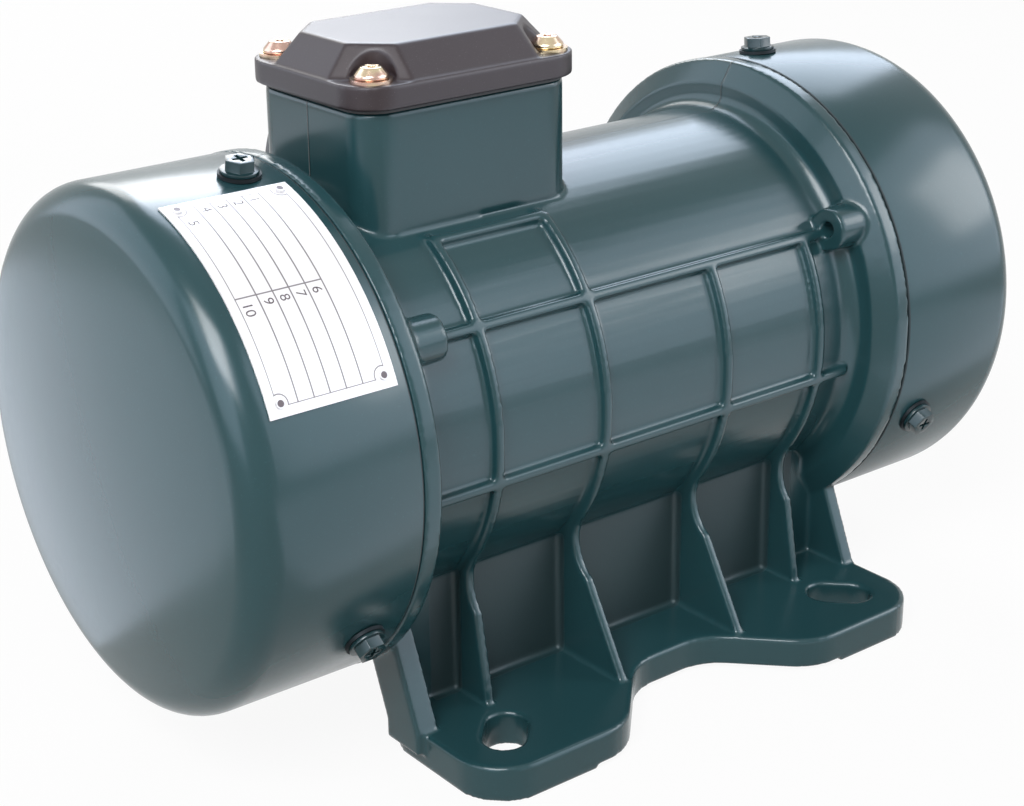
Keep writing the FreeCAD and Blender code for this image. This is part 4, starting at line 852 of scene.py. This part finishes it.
class MOTOR_OT_covers(MotorPiece, bpy.types.Operator):
    """Model the two crowned end covers"""
    bl_idname = "motor.covers"
    bl_label = "End covers"

    def execute(self, context):
        finish, shape, _ = self.settings()
        paint = paint_finish("cover_paint", finish)
        for name, side in ENDS:
            dress(self.cup(name, side, shape), paint, "motor_frame", "cover_paint", f"{name}_cover")
        return {"FINISHED"}

    @staticmethod
    def profile(shape, radius):
        """Steps inwards and up a cover's end: round its corner, then over its crown."""
        # The crown's radius is not known yet, and this is close enough to tell how steep its edge is.
        dome = radius - shape.cover_round * 0.85
        steep = math.radians(90) - math.atan(2 * shape.cover_crown / dome)
        turns = [steep * step / Cover.arc_steps for step in range(Cover.arc_steps + 1)]
        corner = [(shape.cover_round * (math.cos(before) - math.cos(after)),
                   shape.cover_round * (math.sin(after) - math.sin(before)))
                  for before, after in zip(turns, turns[1:])]
        flat = radius - sum(inward for inward, _ in corner)
        rings = [flat * share for share in Cover.rings]
        crown = [(before - after, shape.cover_crown * (before ** 2 - after ** 2) / flat ** 2)
                 for before, after in zip(rings, rings[1:])]
        return corner + crown

    @classmethod
    def cup(cls, name, side, shape):
        """One cover: a cylinder with its end shaped by insets and its inside pushed in."""
        low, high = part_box(f"{name}_cover")
        rim, apex = (low.x, high.x) if side > 0 else (high.x, low.x)
        radius = (high.y - low.y) / 2
        steps = cls.profile(shape, radius)
        straight = abs(apex - rim) - sum(rise for _, rise in steps)

        def on_outer_rim(edge):
            places = [vertex.co for vertex in edge.verts]
            out_from_axis = [math.hypot(place.y, place.z - AXIS_HEIGHT) for place in places]
            at_rim = all(abs(place.x - rim) < HAIR for place in places)
            return at_rim and all(abs(far - radius) < 100 * HAIR for far in out_from_axis)

        bpy.ops.object.select_all(action="DESELECT")
        bpy.ops.mesh.primitive_cylinder_add(
            vertices=Cover.sides, radius=radius, depth=straight, end_fill_type="NGON",
            location=(rim + side * straight / 2, 0, AXIS_HEIGHT), rotation=(0, math.radians(90), 0))
        cup = bpy.context.object
        cup.name = cup.data.name = f"{name}_end_cover"
        settle(cup)
        with editing(cup):
            choose(cup, "FACE", lambda face: face.normal.x * side > 0.9)
            for inward, rise in steps:
                bpy.ops.mesh.inset(thickness=inward, depth=rise)
            choose(cup, "FACE", lambda face: face.normal.x * side < -0.9)
            bpy.ops.mesh.inset(thickness=shape.cover_wall, depth=0)
            bpy.ops.mesh.extrude_region_move(TRANSFORM_OT_translate={
                "value": (side * (straight - shape.cover_wall), 0, 0)})
            choose(cup, "EDGE", on_outer_rim)
            bpy.ops.mesh.bevel(offset=Cover.rim_round, segments=2, profile=0.5, affect="EDGES")
        smooth(cup)
        return cup


class MOTOR_OT_fasteners(MotorPiece, bpy.types.Operator):
    """Round the cover screws and lid screws and give them their finishes"""
    bl_idname = "motor.fasteners"
    bl_label = "Screws and washers"

    def execute(self, context):
        finish, shape, _ = self.settings()
        # Painted shade: the cover screws get the cover paint at 0.6 of its lightness, a darker copy that
        # stands for shade on heads that catch more light.
        screw_paint = paint_finish("screw_paint", finish, tone=0.6)
        dark = metal_finish("dark_washer", (0.03, 0.035, 0.038), 0.5)
        for name, _ in ENDS:
            screws = softened(f"{name}_cover_screws", f"{name}_cover_bolts", shape.edge_round)
            dress(screws, screw_paint, "motor_frame", "cover_paint", f"{name}_cover_screws")
            coat(dark, f"{name}_cover_washers")
        zinc = metal_finish("yellow_zinc", tuple(finish.zinc), 0.14, (0.5, 0.33, 0.27))
        screws = moulded("lid_screws", "lid_bolts", grain=0.0003, passes=5, triangles=60000)
        dress(screws, zinc, "motor_frame", "yellow_zinc", "lid_screws")
        coat(zinc, "lid_washers")
        return {"FINISHED"}


class MOTOR_OT_lid(MotorPiece, bpy.types.Operator):
    """Round the terminal box's moulded lid"""
    bl_idname = "motor.lid"
    bl_label = "Terminal box lid"

    def execute(self, context):
        finish, shape, _ = self.settings()
        lid = moulded("terminal_box_lid", "moulded_lid", shape.lid_grain, passes=7, triangles=110000)
        dress(lid, lid_finish(finish), "motor_frame", "lid_plastic", "terminal_box_lid")
        return {"FINISHED"}


class MOTOR_OT_plate(MotorPiece, bpy.types.Operator):
    """Rule the rating plate and number its empty cells"""
    bl_idname = "motor.plate"
    bl_label = "Rating plate"

    def execute(self, context):
        finish, shape, _ = self.settings()
        plate = merged_copy("rating_plate", "ruled_plate")
        smooth(plate)
        dress(plate, plate_finish(finish), "motor_frame", "plate_metal", "rating_plate")
        ink = plain_finish("plate_ink", tuple(finish.plate_ink), 0.5, 800, 0.000002)
        rows = (Plate.margin, *Plate.rows[:-1])
        cells = [(down, across) for down in (Plate.margin, Plate.split) for across in reversed(rows)]
        for number, (down, across) in enumerate(cells, 1):
            past_rivet = Plate.rivet_room if number == len(rows) else 0
            self.figure(str(number), down + Plate.figure_down + past_rivet, across + Plate.figure_across,
                        shape.figure_height, ink)
        coat(rivet_finish(finish), "plate_rivets")
        return {"FINISHED"}

    @staticmethod
    def figure(text, down, across, size, ink):
        """One plain figure, laid on the curved plate."""
        bpy.ops.object.select_all(action="DESELECT")
        bpy.ops.object.text_add()
        figure = bpy.context.object
        figure.name = f"plate_figure_{text}"
        figure.data.body, figure.data.size = text, size / Plate.figure_share
        figure.data.extrude = Plate.ink_depth
        bpy.ops.object.convert(target="MESH")
        figure = bpy.context.object
        for vertex in figure.data.vertices:
            along, up, height = vertex.co
            vertex.co = Plate.point(down + along, across + up, height + 2 * Plate.ink_depth)
        weld(figure, closer=HAIR, outwards=True)
        dress(figure, ink, "motor_frame", "plate_metal")


class MOTOR_OT_inner_parts(MotorPiece, bpy.types.Operator):
    """Finish the winding, rotor, bearings, weights and terminals inside"""
    bl_idname = "motor.inner_parts"
    bl_label = "Inner parts"

    def execute(self, context):
        coat(lamination_finish(), "stator_core", "rotor_core")
        coat(winding_finish(), "stator_windings")
        coat(metal_finish("bright_steel", (0.58, 0.58, 0.6), 0.18, streak=0.0006),
             "shaft", "bearing_inner_rings", "bearing_outer_rings")
        coat(metal_finish("weight_iron", (0.17, 0.17, 0.18), 0.42, (0.22, 0.2, 0.18)),
             "left_inner_weight", "right_inner_weight", "left_outer_weight", "right_outer_weight")
        coat(metal_finish("screw_steel", (0.33, 0.33, 0.34), 0.32),
             "left_shield_screws", "right_shield_screws", "inner_weight_screws", "left_outer_weight_screw",
             "right_outer_weight_screw", "weight_keys", "shaft_end_rings")
        coat(plain_finish("block_plastic", (0.1, 0.06, 0.035), 0.45), "terminal_block")
        coat(metal_finish("stud_brass", (0.76, 0.56, 0.26), 0.25), "terminal_studs")
        coat(plain_finish("capacitor_plastic", (0.07, 0.07, 0.08), 0.5), "run_capacitor")
        return {"FINISHED"}


class MOTOR_PT_panel(bpy.types.Panel):
    """Lists the motor's pieces"""
    bl_idname = "MOTOR_PT_panel"
    bl_label = "Vibration Motor"
    bl_space_type = "VIEW_3D"
    bl_region_type = "UI"
    bl_category = "Motor"

    def draw(self, context):
        for operator in OPERATORS:
            self.layout.operator(operator.bl_idname)


OPERATORS = (MOTOR_OT_stage, MOTOR_OT_cable, MOTOR_OT_housing, MOTOR_OT_covers, MOTOR_OT_fasteners,
             MOTOR_OT_lid, MOTOR_OT_plate, MOTOR_OT_inner_parts)
SETTINGS = (("motor_finish", FinishSettings), ("motor_shape", ShapeSettings), ("motor_stage", StageSettings))


def register():
    for name, group in SETTINGS:
        bpy.utils.register_class(group)
        setattr(bpy.types.Scene, name, bpy.props.PointerProperty(type=group))
    for item in (*OPERATORS, MOTOR_PT_panel):
        bpy.utils.register_class(item)


def unregister():
    for item in reversed((*OPERATORS, MOTOR_PT_panel)):
        bpy.utils.unregister_class(item)
    for name, group in reversed(SETTINGS):
        delattr(bpy.types.Scene, name)
        bpy.utils.unregister_class(group)


def main():
    register()
    for operator in OPERATORS:
        family, name = operator.bl_idname.split(".")
        getattr(getattr(bpy.ops, family), name)()


if __name__ == "__main__":
    main()
